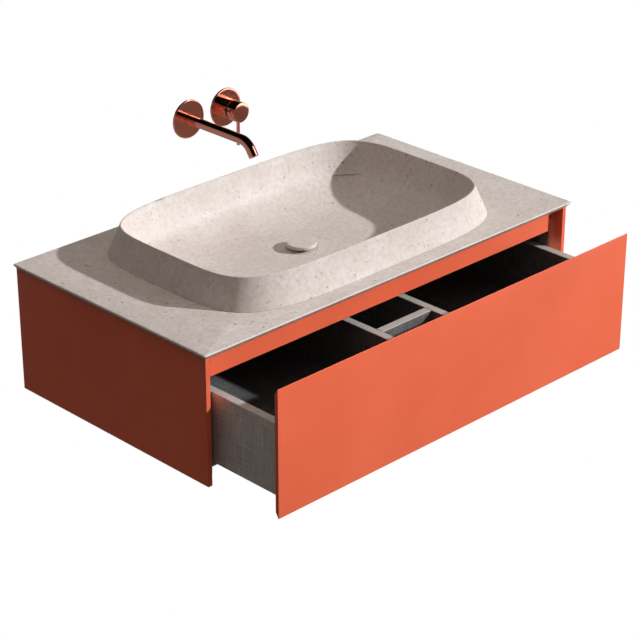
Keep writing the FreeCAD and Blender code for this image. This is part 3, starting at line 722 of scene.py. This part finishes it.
# %% Basin's rim, seat and foot
rim_round = 0.0014
rim_inner_round = 0.0026
seat_gap = 0.0003
seat_depth = 0.0025
seat_edge = 0.0006
boss_width = 0.0037
boss_depth = 0.006
washer_margin = 0.0055
seal_step = 0.008
seal_height = 0.002
foot_edge = 0.0006
hole_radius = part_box("waste_washer")[1].x - washer_margin


def rim_loops():
    """Round over the rim's outer edge, then down its inner edge."""
    loops = []
    for sine, drop in quarter():
        edge = rim_round * (1 - drop)
        z = rim_z - rim_round + rim_round * sine
        loops.append(basin_loop(rim_a - rim_round + edge, rim_b - rim_round + edge, rim_power, z))
    for sine, drop in quarter():
        inset = rim_width - rim_inner_round + rim_inner_round * sine
        loops.append(basin_loop(rim_a - inset, rim_b - inset, rim_power, rim_z - rim_inner_round * drop))
    return loops


def seat_loops():
    """Circles for the waste's seat, its hole and the boss round the hole underneath."""
    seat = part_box("waste_body")[1].x + seat_gap
    seat_z = floor_z - seat_depth
    under_z = floor_z - shell
    circles = ((seat + seat_edge, floor_z), (seat, floor_z - seat_edge), (seat, seat_z),
               (hole_radius, seat_z), (hole_radius, under_z - boss_depth),
               (seat + boss_width, under_z - boss_depth), (seat + boss_width, under_z))
    return [basin_loop(radius, radius, 2.0, z) for radius, z in circles]


def foot_loops():
    """The foot on the slab, from the seal's inner step to the outer edge."""
    steps = ((2 * seal_step, 0.0), (2 * seal_step, seal_height), (seal_step, seal_height),
             (seal_step, 0.0), (foot_edge, 0.0), (0.0, foot_edge))
    return [basin_loop(foot_a - inset, foot_b - inset, foot_power, top_z + z) for inset, z in steps]


def make_basin():
    rows = inner_wall()
    below_edge = [row for row in rows if row[1] < rim_z - rim_inner_round * 1.5]
    outside = below_slab(rows)
    at_slab = wall_loops(outside[:1], shell, shell)[0]
    loops = rim_loops() + wall_loops(below_edge, 0.0, 0.0) + seat_loops()
    loops += list(reversed(wall_loops(outside, shell, shell)))
    loops.append([(x, y, top_z) for x, y, z in at_slab])
    loops += foot_loops()
    points, faces = stack_loops(loops, ring=True)
    faces = [tuple(reversed(face)) for face in faces]
    return make_piece("basin_body", points, faces, stone, "cabinet", crease=40.0)


basin = make_basin()
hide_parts("basin")


# %% [markdown]
# The top is a thin stone slab. Its front and end edges are an upright nose of a few millimetres over
# an undercut slope, which is why the slab looks thinner than it is. Real slabs have eased corners and
# arrises, so both are rounded here. A cut-out of the basin's shape lets the bowl hang through.

# %% Outline with rounded corners
corner_steps = 6


def slab_outline(x0, x1, y0, y1, radius, sides=40):
    """Rectangle with rounded corners, anticlockwise, its sides divided so that rings line up."""
    outline = []
    middle_x = (x0 + x1) / 2
    middle_y = (y0 + y1) / 2
    corners = ((x1, y1, 0), (x0, y1, 1), (x0, y0, 2), (x1, y0, 3))

    def on_corner(x, y, quarter_turns):
        """Point of the rounding at a corner, quarter_turns round from the right."""
        turn = math.pi / 2 * quarter_turns
        inward_x = x - math.copysign(radius, x - middle_x)
        inward_y = y - math.copysign(radius, y - middle_y)
        return inward_x + radius * math.cos(turn), inward_y + radius * math.sin(turn)

    for number, (x, y, quarter_turns) in enumerate(corners):
        for step in range(corner_steps + 1):
            outline.append(on_corner(x, y, quarter_turns + step / corner_steps))
        start = outline[-1]
        end = on_corner(*corners[(number + 1) % 4])
        for step in range(1, sides):
            share = step / sides
            outline.append((start[0] + (end[0] - start[0]) * share,
                            start[1] + (end[1] - start[1]) * share))
    return outline


print("outline helper ready")


# %% Countertop
slab_low, slab_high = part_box("countertop")
corner_radius = 0.003
arris = 0.0028
nose_height = 0.004
undercut = 0.008
cut_gap = 0.004


def cut_out(outline, a, b, z):
    """Points of the basin's cut-out in the same directions as the outline's points."""
    loop = []
    for x, y in outline:
        away = math.hypot(x, y - centre_y)
        east = abs(x) / away / a
        north = abs(y - centre_y) / away / b
        reach = (east ** rim_power + north ** rim_power) ** (-1 / rim_power)
        loop.append((x / away * reach, centre_y + (y - centre_y) / away * reach, z))
    return loop


def slab_level(inset, back, z):
    """The slab's outline at one height; the edge at the wall has an inset of its own."""
    outline = slab_outline(slab_low.x + inset, slab_high.x - inset, slab_low.y + inset,
                           slab_high.y - back, corner_radius)
    return [(x, y, z) for x, y in outline]


def make_slab():
    full = slab_outline(slab_low.x, slab_high.x, slab_low.y, slab_high.y, corner_radius)
    hanging = wall_loops(below_slab(inner_wall())[:1], shell, shell)[0]
    hole_a = max(point[0] for point in hanging) + cut_gap
    hole_b = max(point[1] for point in hanging) - centre_y + cut_gap
    loops = [cut_out(full, hole_a, hole_b, slab_low.z), cut_out(full, hole_a, hole_b, top_z)]
    for sine, drop in quarter(4):
        inset = arris * (1 - sine)
        loops.append(slab_level(inset, inset, top_z - arris * drop))
    nose_z = top_z - nose_height
    loops.append(slab_level(0.0, 0.0, nose_z + arris / 2))
    loops.append(slab_level(arris / 2, 0.0, nose_z))
    loops.append(slab_level(undercut, 0.0, slab_low.z))
    points, faces = stack_loops(loops, ring=True)
    return make_piece("countertop_slab", points, faces, stone, "cabinet")


slab = make_slab()
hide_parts("countertop")


# %% [markdown]
# The drawer front has no handle. Its top and bottom edges are mitred back from the face, and its ends
# are square for a few millimetres and then cut back, so fingers can hook round it from the groove
# beside it. The face's edges are where light catches, so they get a small round. One stack of loops
# from front to back makes all of it.

# %% Drawer front
front_low, front_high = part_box("drawer_front")
front_thick = front_high.y - front_low.y
front_nose = 0.001
front_side_nose = 0.0075
front_mitre = 0.028
front_round = 0.0007
front_corner = 0.0008


def front_level(inset_x, inset_z, deep):
    """The drawer front's outline at one depth behind its face."""
    outline = slab_outline(front_low.x + inset_x, front_high.x - inset_x, front_low.z + inset_z,
                           front_high.z - inset_z, front_corner, sides=10)
    return [(x, front_low.y + deep, z) for x, z in outline]


def make_drawer_front():
    slope = front_mitre / (front_thick - front_nose)
    loops = []
    for sine, drop in quarter(5):
        inset = front_round * (1 - sine)
        loops.append(front_level(inset, inset, front_round * drop))
    loops.append(front_level(0.0, 0.0, front_nose))
    loops.append(front_level(0.0, slope * (front_side_nose - front_nose), front_side_nose))
    loops.append(front_level(front_thick - front_side_nose, front_mitre, front_thick))
    points, faces = stack_loops(loops)
    return make_piece("drawer_front_panel", points, faces, lacquer, "drawer")


front = make_drawer_front()
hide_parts("drawer_front")


# %% [markdown]
# Everything round on a tap is turned on a lathe, or bent from tube. A turned piece is a profile of
# radius against distance, swept round its axis. Small radii on every edge make the bright rings that
# polished metal shows.

# %% Turned pieces
# A turned end closes on a tiny circle of this radius instead of on one point.
pole = 0.0001
small_edge = 0.0006


def turned_loops(profile, centre, axis, steps=96, ridges=0, ridge_depth=0.0):
    """Circles round an axis for (distance, radius) pairs, optionally ridged like a hand nut."""
    axis = Vector(axis).normalized()
    side = axis.orthogonal().normalized()
    up = axis.cross(side)
    loops = []
    for distance, radius in profile:
        loop = []
        for i in range(steps):
            turn = 2 * math.pi * i / steps
            wave = ridge_depth * max(0.0, math.cos(turn * ridges)) if ridges else 0.0
            around = side * math.cos(turn) + up * math.sin(turn)
            loop.append(Vector(centre) + axis * distance + around * (radius - wave))
        loops.append(loop)
    return loops


def eased(distance, radius, ease, steps=4):
    """Rounded corner of a profile, from the side wall to the face at distance."""
    corner = []
    for sine, drop in quarter(steps):
        corner.append((distance - ease * (1 - sine), radius - ease * drop))
    return corner


def turned_piece(name, profile, centre, axis, material, slot, body, replaced, hollow=False, **ridged):
    """Swept profile as a finished piece in place of its CAD nodes; a hollow one keeps its bore."""
    points, faces = stack_loops(turned_loops(profile, centre, axis, **ridged), ring=hollow)
    piece = make_piece(name, points, faces, material, body)
    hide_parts(*replaced)
    return piece


print("turning helpers ready")


# %% Tap measures
def middle_of(node):
    """Middle of a CAD node's box."""
    low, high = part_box(node)
    return (low + high) / 2


into_room = (0.0, -1.0, 0.0)
disc_middle = middle_of("spout_disc")
disc_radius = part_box("spout_disc")[1].x - disc_middle.x
disc_thick = -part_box("spout_disc")[0].y
tube_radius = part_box("spout")[1].x - disc_middle.x
tap_z = disc_middle.z
mixer_x = middle_of("mixer_disc").x
sleeve_low, sleeve_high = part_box("mixer_sleeve")
grip_radius = sleeve_high.x - mixer_x
print("tap disc radius:", round(disc_radius, 4), "tube radius:", round(tube_radius, 4))


# %% [markdown]
# Each half of the tap comes out of the wall through a flat disc, which covers the hole cut in the
# tiles. Plain cylinders would look stamped, so the rim is rounded over and the face is dished by a
# hair, which bends what it mirrors.

# %% Wall discs
disc_round = 0.0011
dish = 0.00015
dish_reach = 0.9
lip_width = 0.004
tube_gap = 0.0003
sleeve_bore = 0.016


def disc_profile(bore):
    """Profile of a wall disc, from its bore at the wall round its face and back."""
    outer = [(0.0, bore), (0.0, disc_radius - small_edge), (small_edge, disc_radius)]
    face_edge = eased(disc_thick, disc_radius, disc_round)
    dished = [(disc_thick - dish, disc_radius * dish_reach), (disc_thick, bore + lip_width)]
    inner = [(disc_thick, bore + small_edge), (disc_thick - small_edge, bore)]
    return outer + face_edge + dished + inner


turned_piece("spout_wall_disc", disc_profile(tube_radius + tube_gap), (disc_middle.x, 0.0, tap_z),
             into_room, copper, "rose_copper", "cabinet", ["spout_disc"], hollow=True)
turned_piece("mixer_wall_disc", disc_profile(sleeve_bore), (mixer_x, 0.0, tap_z),
             into_room, copper, "rose_copper", "cabinet", ["mixer_disc"], hollow=True)


# %% [markdown]
# The mixer is a fixed sleeve with a handle of the same width before it. Only the thin gap between
# them shows that the handle turns, so both keep small, crisp edges there. The lever is a slim rod
# that hangs from the handle, and it rides on the handle's body.

# %% Mixer sleeve
sleeve_back = -sleeve_high.y
sleeve_front = -sleeve_low.y
sleeve_round = 0.0007
sleeve = [(sleeve_back, sleeve_bore), (sleeve_back, grip_radius)]
sleeve += eased(sleeve_front, grip_radius, sleeve_round)
sleeve += [(sleeve_front, sleeve_bore + small_edge), (sleeve_front - small_edge, sleeve_bore)]
turned_piece("mixer_sleeve_ring", sleeve, (mixer_x, 0.0, tap_z), into_room, copper,
             "rose_copper", "cabinet", ["mixer_sleeve"], hollow=True)

# %% Mixer handle
handle_low, handle_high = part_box("handle")
handle_back = -handle_high.y
handle_front = -handle_low.y
handle_bore = 0.016
bore_end = handle_back + 0.012
handle_round = 0.0009
handle = [(bore_end, pole), (bore_end, handle_bore - small_edge),
          (bore_end - small_edge, handle_bore), (handle_back + small_edge, handle_bore),
          (handle_back, handle_bore + small_edge), (handle_back, grip_radius - small_edge),
          (handle_back + small_edge, grip_radius)]
handle += eased(handle_front, grip_radius, handle_round, steps=5)
handle += [(handle_front, grip_radius * 0.5), (handle_front, pole)]
turned_piece("mixer_handle", handle, (mixer_x, 0.0, tap_z), into_room, copper,
             "rose_copper", "mixer_handle", ["handle"])

# %% Mixer lever
lever_low, lever_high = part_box("lever")
lever_radius = (lever_high.x - lever_low.x) / 2
lever_length = lever_high.z - lever_low.z
lever_round = 0.0012
first_ring = 0.003
lever = [(0.0, lever_radius), (first_ring, lever_radius)]
lever += eased(lever_length, lever_radius, lever_round, steps=5)
lever.append((lever_length, pole))
lever_top = (mixer_x, (lever_low.y + lever_high.y) / 2, lever_high.z)
turned_piece("mixer_lever", lever, lever_top, (0.0, 0.0, -1.0), copper,
             "rose_copper", "mixer_handle", ["lever"], steps=40)


# %% [markdown]
# The spout is one length of tube, bent once. Its route is a straight run, a quarter-like arc and a
# short straight nose; a ring of points rides along it, always square to the way it goes. The wall of
# the tube shows at the mouth, so the ring turns back inside as a second, narrower tube.

# %% Spout
spout_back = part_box("spout")[1].y
bend_degrees = 55.0
bend_radius = 0.032
bend_y = -0.159
straight_steps = 12
bend_steps = 16
nose_length = 0.0167
tube_wall = 0.0015
mouth_round = 0.0006
mouth_inner_round = 0.0003


def spout_route():
    """Points and directions along the tube's middle, in the plane of its bend."""
    route = []
    for step in range(straight_steps):
        y = spout_back + (bend_y - spout_back) * step / straight_steps
        route.append((Vector((disc_middle.x, y, tap_z)), Vector(into_room)))
    for step in range(bend_steps + 1):
        turn = math.radians(bend_degrees) * step / bend_steps
        place_y = bend_y - bend_radius * math.sin(turn)
        place_z = tap_z - bend_radius * (1 - math.cos(turn))
        direction = Vector((0.0, -math.cos(turn), -math.sin(turn)))
        route.append((Vector((disc_middle.x, place_y, place_z)), direction))
    last, direction = route[-1]
    route.append((last + direction * nose_length * 0.5, direction))
    route.append((last + direction * (nose_length - mouth_round), direction))
    return route


def tube_ring(place_at, direction, radius, steps=64):
    """Circle round a point of the route, square to its direction."""
    side = Vector((1.0, 0.0, 0.0))
    up = side.cross(direction)
    ring = []
    for i in range(steps):
        turn = 2 * math.pi * i / steps
        ring.append(place_at + (side * math.cos(turn) + up * math.sin(turn)) * radius)
    return ring


def make_spout():
    """The tube; also returns where its mouth is and which way it points."""
    route = spout_route()
    bore = tube_radius - tube_wall
    loops = [tube_ring(place_at, direction, tube_radius) for place_at, direction in route]
    tip, direction = route[-1]
    for sine, drop in quarter(4):
        outer = tube_radius - mouth_round * drop
        loops.append(tube_ring(tip + direction * mouth_round * sine, direction, outer))
    loops.append(tube_ring(tip + direction * mouth_round, direction, bore + mouth_inner_round))
    loops.append(tube_ring(tip + direction * (mouth_round - mouth_inner_round), direction, bore))
    for place_at, direction in reversed(route[:-1]):
        loops.append(tube_ring(place_at, direction, bore))
    points, faces = stack_loops(loops, ring=True)
    return make_piece("spout_tube", points, faces, copper, "cabinet"), tip, route[-1][1]


spout, mouth, mouth_way = make_spout()
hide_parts("spout")


# %% [markdown]
# A flow straightener sits just inside the mouth. It is a short plug with a raised ring round its edge
# and two finer ones within, which break up the smooth face that a plain disc would show from below.

# %% Flow straightener
insert_gap = 0.00002
insert_length = 0.0084
insert_front = -0.0006
insert_face = -0.0030
ring_width = 0.0022
ring_ease = 0.0004
ridge_half = 0.0004
ridge_height = 0.0006
insert_radius = tube_radius - tube_wall - insert_gap
insert = [(-insert_length, pole), (-insert_length, insert_radius), (insert_front, insert_radius),
          (insert_front + ring_ease, insert_radius - small_edge),
          (insert_front + ring_ease, insert_radius - ring_width),
          (insert_face, insert_radius - ring_width - ring_ease)]
for ridge in (0.0040, 0.0020):
    insert += [(insert_face, ridge + ridge_half), (insert_face + ridge_height, ridge),
               (insert_face, ridge - ridge_half)]
insert.append((insert_face, pole))
turned_piece("flow_straightener", insert, mouth, mouth_way, copper, "rose_copper", "cabinet",
             ["aerator"], steps=48)


# %% [markdown]
# In the bowl, a stone cap stands a few millimetres over the waste's flange while the waste is open. It
# is a flat disc with a softly rounded upper edge, so it can be turned like the tap's pieces, and it
# wears the bowl's own stone.

# %% Drain cap
cap_low, cap_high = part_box("drain_cap")
cap_middle = (cap_low + cap_high) / 2
cap_radius = cap_high.x - cap_middle.x
cap_thick = cap_high.z - cap_low.z
cap_lower_edge = 0.0008
cap_round = 0.0015
cap = [(0.0, pole), (0.0, cap_radius - cap_lower_edge), (cap_lower_edge, cap_radius)]
cap += eased(cap_thick, cap_radius, cap_round, steps=6)
cap += [(cap_thick, cap_radius * 0.5), (cap_thick, pole)]
turned_piece("drain_cap_disc", cap, (cap_middle.x, cap_middle.y, cap_low.z), (0, 0, 1), stone,
             "stone", "drain_cap", ["drain_cap"])


# %% [markdown]
# Under the bowl two of the trap's nuts are tightened by hand, so they are ridged for grip. The ridges
# could be cut one by one, but a wave in the radius of a turned ring gives them all at once.

# %% Trap nuts
nut_edge = 0.0015
nut_ridges = 24
nut_ridge_depth = 0.0007
top_nut_gap = 0.0002
outlet_nut_gap = 0.0032


def hand_nut(name, node, bore, axis):
    """Ridged ring that fills its CAD node's box along the axis."""
    low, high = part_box(node)
    centre = (low + high) / 2
    way = Vector(axis)
    half = abs((high - low).dot(way)) / 2
    outer = (high.x - low.x) / 2
    profile = [(-half, bore), (-half, outer - nut_edge), (-half + nut_edge, outer)]
    profile += [(half - nut_edge, outer), (half, outer - nut_edge), (half, bore)]
    turned_piece(name, profile, centre, way, chrome, "chromed_brass", "cabinet", [node],
                 hollow=True, steps=192, ridges=nut_ridges, ridge_depth=nut_ridge_depth)


pipe_radius = (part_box("trap_dip_tube")[1].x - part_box("trap_dip_tube")[0].x) / 2
hand_nut("trap_top_hand_nut", "trap_top_nut", pipe_radius + top_nut_gap, (0, 0, 1))
hand_nut("trap_outlet_hand_nut", "trap_outlet_nut", pipe_radius + outlet_nut_gap, (0, 1, 0))


# %% [markdown]
# The drawer's boards are cut from laminated sheet, so their top edges are closed with a thin band. It
# is pressed on with a hair of height over the board and its own, calmer grain. Each band here is a
# strip that follows one board's top edge.

# %% Edge bands on the drawer's boards
band_thick = 0.0006
band_inset = 0.0007
band_corner = 0.0006
band_sunk = 0.0004
band_taper = 0.0003
edge_band = make_board("linen_edge_band", dark=(0.36, 0.34, 0.315), light=(0.54, 0.515, 0.485),
                       per_metre=1100.0, bump=0.2)


def make_edge_band(node):
    """Strip along the top of one board, its upper face a little narrower than its foot."""
    low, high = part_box(node)
    loops = []
    for shrink, z in ((0.0, high.z - band_sunk), (0.0, high.z + band_thick * 0.4),
                      (band_taper, high.z + band_thick)):
        inset = band_inset + shrink
        outline = slab_outline(low.x + inset, high.x - inset, low.y + inset, high.y - inset,
                               band_corner, sides=4)
        loops.append([(x, y, z) for x, y in outline])
    points, faces = stack_loops(loops)
    return make_piece(node + "_edge_band", points, faces, edge_band, "drawer")


banded = ("drawer_left_side", "drawer_right_side", "drawer_left_divider", "drawer_right_divider",
          "drawer_cross_wall", "drawer_left_back", "drawer_right_back", "drawer_box_front")
for node in banded:
    make_edge_band(node)
print("edge bands made:", len(banded))


# %% [markdown]
# The object hangs on a wall, so it is shown as it hangs, with a floor far below and a wall behind.
# Both are white to the camera. White paint would also throw light back and fill every shaded side, so
# each material asks what kind of ray has met it, and answers other rays in its own way. Both sheets
# can be looked through from their back, so no view of the object is blocked.

# %% Backdrop helpers
def make_backdrop(name, corners, material):
    """One four-sided sheet of the stage."""
    mesh = bpy.data.meshes.new(name)
    mesh.from_pydata(corners, [], [(0, 1, 2, 3)])
    mesh.materials.append(material)
    backdrop = bpy.data.objects.new(name, mesh)
    scene.collection.objects.link(backdrop)


def white_when_seen(name, base):
    """White to the camera, plain matt to other rays; returns material, tree and closing shader."""
    material, tree, shader, _ = start_material(name, roughness=0.9)
    shader.inputs["Base Color"].default_value = (*base, 1.0)
    glow = tree.nodes.new("ShaderNodeEmission")
    rays = tree.nodes.new("ShaderNodeLightPath").outputs
    choice = tree.nodes.new("ShaderNodeMixShader")
    tree.links.new(rays["Is Camera Ray"], choice.inputs["Fac"])
    tree.links.new(shader.outputs["BSDF"], choice.inputs[1])
    tree.links.new(glow.outputs["Emission"], choice.inputs[2])
    return material, tree, choice


def hide_behind(tree, front, amount):
    """Lets rays through where the amount is 1, and joins the result to the material's output."""
    clear = tree.nodes.new("ShaderNodeBsdfTransparent")
    solid = tree.nodes.new("ShaderNodeMixShader")
    tree.links.new(amount, solid.inputs["Fac"])
    tree.links.new(front.outputs["Shader"], solid.inputs[1])
    tree.links.new(clear.outputs["BSDF"], solid.inputs[2])
    tree.links.new(solid.outputs["Shader"], tree.nodes["Material Output"].inputs["Surface"])


print("backdrop helpers ready")


# %% [markdown]
# The floor is dark to the light that bounces between pieces. Polished copper is mostly a mirror of
# what stands round it, and a dark floor would turn the tap black. So reflections see the floor as an
# even grey glow, a little paler towards the wall.

# %% Floor
floor_drop = 0.62
floor_reach = 30.0
paler_per_metre = 0.5


def make_floor():
    """Wide sheet under the object; returns the height at which it lies."""
    z = cad_box[0][2] - floor_drop
    material, tree, choice = white_when_seen("pale_floor", (0.05, 0.047, 0.045))
    split = tree.nodes.new("ShaderNodeSeparateXYZ")
    tree.links.new(tree.nodes.new("ShaderNodeTexCoord").outputs["Object"], split.inputs["Vector"])
    beyond = calculate(tree, "MULTIPLY", split.outputs["Y"], paler_per_metre, clamp=True)
    grey = blend_colours(tree, beyond, (0.30, 0.285, 0.27), (0.42, 0.41, 0.41))
    shine = tree.nodes.new("ShaderNodeEmission")
    tree.links.new(grey, shine.inputs["Color"])
    mirror = tree.nodes.new("ShaderNodeMixShader")
    tree.links.new(tree.nodes.new("ShaderNodeLightPath").outputs["Is Glossy Ray"], mirror.inputs["Fac"])
    tree.links.new(choice.outputs["Shader"], mirror.inputs[1])
    tree.links.new(shine.outputs["Emission"], mirror.inputs[2])
    hide_behind(tree, mirror, tree.nodes.new("ShaderNodeNewGeometry").outputs["Backfacing"])
    make_backdrop("floor", [(-floor_reach, -floor_reach, z), (floor_reach, -floor_reach, z),
                            (floor_reach, floor_reach, z), (-floor_reach, floor_reach, z)], material)
    return z


print("floor height:", round(make_floor(), 3))


# %% [markdown]
# From the front a wall hides what lies in it, such as the valve body. A solid sheet would also stop
# the light and the view from behind, so this one is met only by the camera's own rays from the front.

# %% Wall
wall_gap = 0.0004
wall_margin = 0.3


def make_wall():
    """White sheet behind the object; returns how tall it is."""
    material, tree, choice = white_when_seen("white_wall", (0.5, 0.5, 0.5))
    rays = tree.nodes.new("ShaderNodeLightPath").outputs["Is Camera Ray"]
    behind = tree.nodes.new("ShaderNodeNewGeometry").outputs["Backfacing"]
    in_front = calculate(tree, "SUBTRACT", rays, behind, clamp=True)
    hide_behind(tree, choice, calculate(tree, "SUBTRACT", 1.0, in_front))
    low = cad_box[0][2] - wall_margin
    high = cad_box[1][2] + wall_margin
    side = cad_box[1][0] + wall_margin
    make_backdrop("wall", [(-side, wall_gap, low), (side, wall_gap, low), (side, wall_gap, high),
                           (-side, wall_gap, high)], material)
    return high - low


print("wall height:", round(make_wall(), 3))


# %% [markdown]
# An even sky would light the shaded side and the bowl's bottom alike. A fill that grows overhead keeps
# the top clear and the sides deep. Reflections get a sky of their own, with a pale horizon, a dark top
# and a round lamp where the sun stands. The camera sees plain white.

# %% Sky
horizon_top = 0.42
horizon_fade = 9.0
lamp_reach = math.radians(15.0)
lamp_fade = 60.0
sun_way = Vector((1.5, -1.45, 1.0))


def mirrored_sky(tree, way, up, horizon, lamp):
    """Background for reflections, with the strengths of its horizon and of its lamp."""
    below_top = calculate(tree, "SUBTRACT", horizon_top, up)
    fading = calculate(tree, "MULTIPLY", below_top, horizon_fade, clamp=True)
    pale = calculate(tree, "MULTIPLY", fading, horizon)
    towards = tree.nodes.new("ShaderNodeVectorMath")
    towards.operation = "DOT_PRODUCT"
    tree.links.new(way, towards.inputs[0])
    towards.inputs[1].default_value = sun_way.normalized()
    inside = calculate(tree, "SUBTRACT", towards.outputs["Value"], math.cos(lamp_reach))
    disc = calculate(tree, "MULTIPLY", inside, lamp_fade, clamp=True)
    bright = calculate(tree, "MULTIPLY", disc, lamp)
    mirrored = tree.nodes.new("ShaderNodeBackground")
    tree.links.new(calculate(tree, "ADD", pale, bright), mirrored.inputs["Strength"])
    return mirrored


def make_sky(level, overhead, horizon, lamp):
    """Fill of a base level and an overhead part, and the two other skies chosen by kind of ray."""
    world = bpy.data.worlds.new("studio")
    world.use_nodes = True
    tree = world.node_tree
    rays = tree.nodes.new("ShaderNodeLightPath").outputs
    way = tree.nodes.new("ShaderNodeTexCoord").outputs["Generated"]
    split = tree.nodes.new("ShaderNodeSeparateXYZ")
    tree.links.new(way, split.inputs["Vector"])
    up = calculate(tree, "MAXIMUM", split.outputs["Z"], 0.0)
    high = calculate(tree, "MULTIPLY", calculate(tree, "MULTIPLY", up, up), overhead)
    fill = tree.nodes["Background"]
    fill.inputs["Color"].default_value = (1.0, 0.93, 0.89, 1.0)
    tree.links.new(calculate(tree, "ADD", high, level), fill.inputs["Strength"])
    mirrored = mirrored_sky(tree, way, up, horizon, lamp)
    white = tree.nodes.new("ShaderNodeBackground")
    white.inputs["Color"].default_value = (1.0, 1.0, 1.0, 1.0)
    last = fill
    for ray, background in (("Is Glossy Ray", mirrored), ("Is Camera Ray", white)):
        choice = tree.nodes.new("ShaderNodeMixShader")
        tree.links.new(rays[ray], choice.inputs["Fac"])
        tree.links.new(last.outputs[0], choice.inputs[1])
        tree.links.new(background.outputs[0], choice.inputs[2])
        last = choice
    tree.links.new(last.outputs[0], tree.nodes["World Output"].inputs["Surface"])
    scene.world = world


make_sky(level=0.02, overhead=0.82, horizon=0.42, lamp=5.0)
print("sky made:", scene.world.name)


# %% [markdown]
# The basin throws a long shadow with a firm edge over the slab, and that takes one small, far lamp. A
# sun lamp is right for that: its rays are parallel, and its angle alone sets how soft the edge is. It
# shines from the front right, at a low height.

# %% Sun
sun_data = bpy.data.lights.new("sun", "SUN")
sun_data.energy = 4.45
sun_data.angle = math.radians(1.6)
sun_data.color = (0.93, 0.965, 1.0)
sun = bpy.data.objects.new("sun", sun_data)
sun.rotation_euler = sun_way.to_track_quat("Z", "Y").to_euler()
scene.collection.objects.link(sun)
print("sun height above the horizon, degrees:",
      round(math.degrees(math.atan2(sun_way.z, math.hypot(sun_way.x, sun_way.y))), 1))


# %% [markdown]
# A wide lacquered front under a sun alone is one flat tone. A soft panel near its right end makes it
# a little paler there. An area lamp does this, because its light falls off with distance.

# %% Soft light near the drawer front's right end
panel_data = bpy.data.lights.new("soft_panel", "AREA")
panel_data.size = 0.6
panel_data.energy = 3.6
panel_target = Vector((0.4, -0.7, -0.1))
panel = bpy.data.objects.new("soft_panel", panel_data)
panel.location = (1.5, -1.65, -0.15)
panel.rotation_euler = (panel.location - panel_target).to_track_quat("Z", "Y").to_euler()
panel.visible_camera = False
scene.collection.objects.link(panel)
print("soft light energy:", panel_data.energy)


# %% [markdown]
# The camera stands high in front and to the left. A short lens close by would spread the upright
# edges, and a long lens from further off keeps them nearly parallel. Standard colour handling keeps the
# lacquer as saturated as it is.

# %% Camera
camera_data = bpy.data.cameras.new("camera")
camera_data.lens = 121.13
camera_data.sensor_width = 36.0
camera = bpy.data.objects.new("camera", camera_data)
camera.location = (-2.7029, -3.0813, 1.7517)
camera_turn = math.radians(44.464)
camera_tip = math.radians(25.822)
camera.rotation_euler = (math.pi / 2 - camera_tip, 0.0, -camera_turn)
scene.collection.objects.link(camera)
scene.camera = camera
scene.view_settings.view_transform = "Standard"
print("camera lens:", camera_data.lens)


# %% [markdown]

# %% End of the scene
print("scene built")
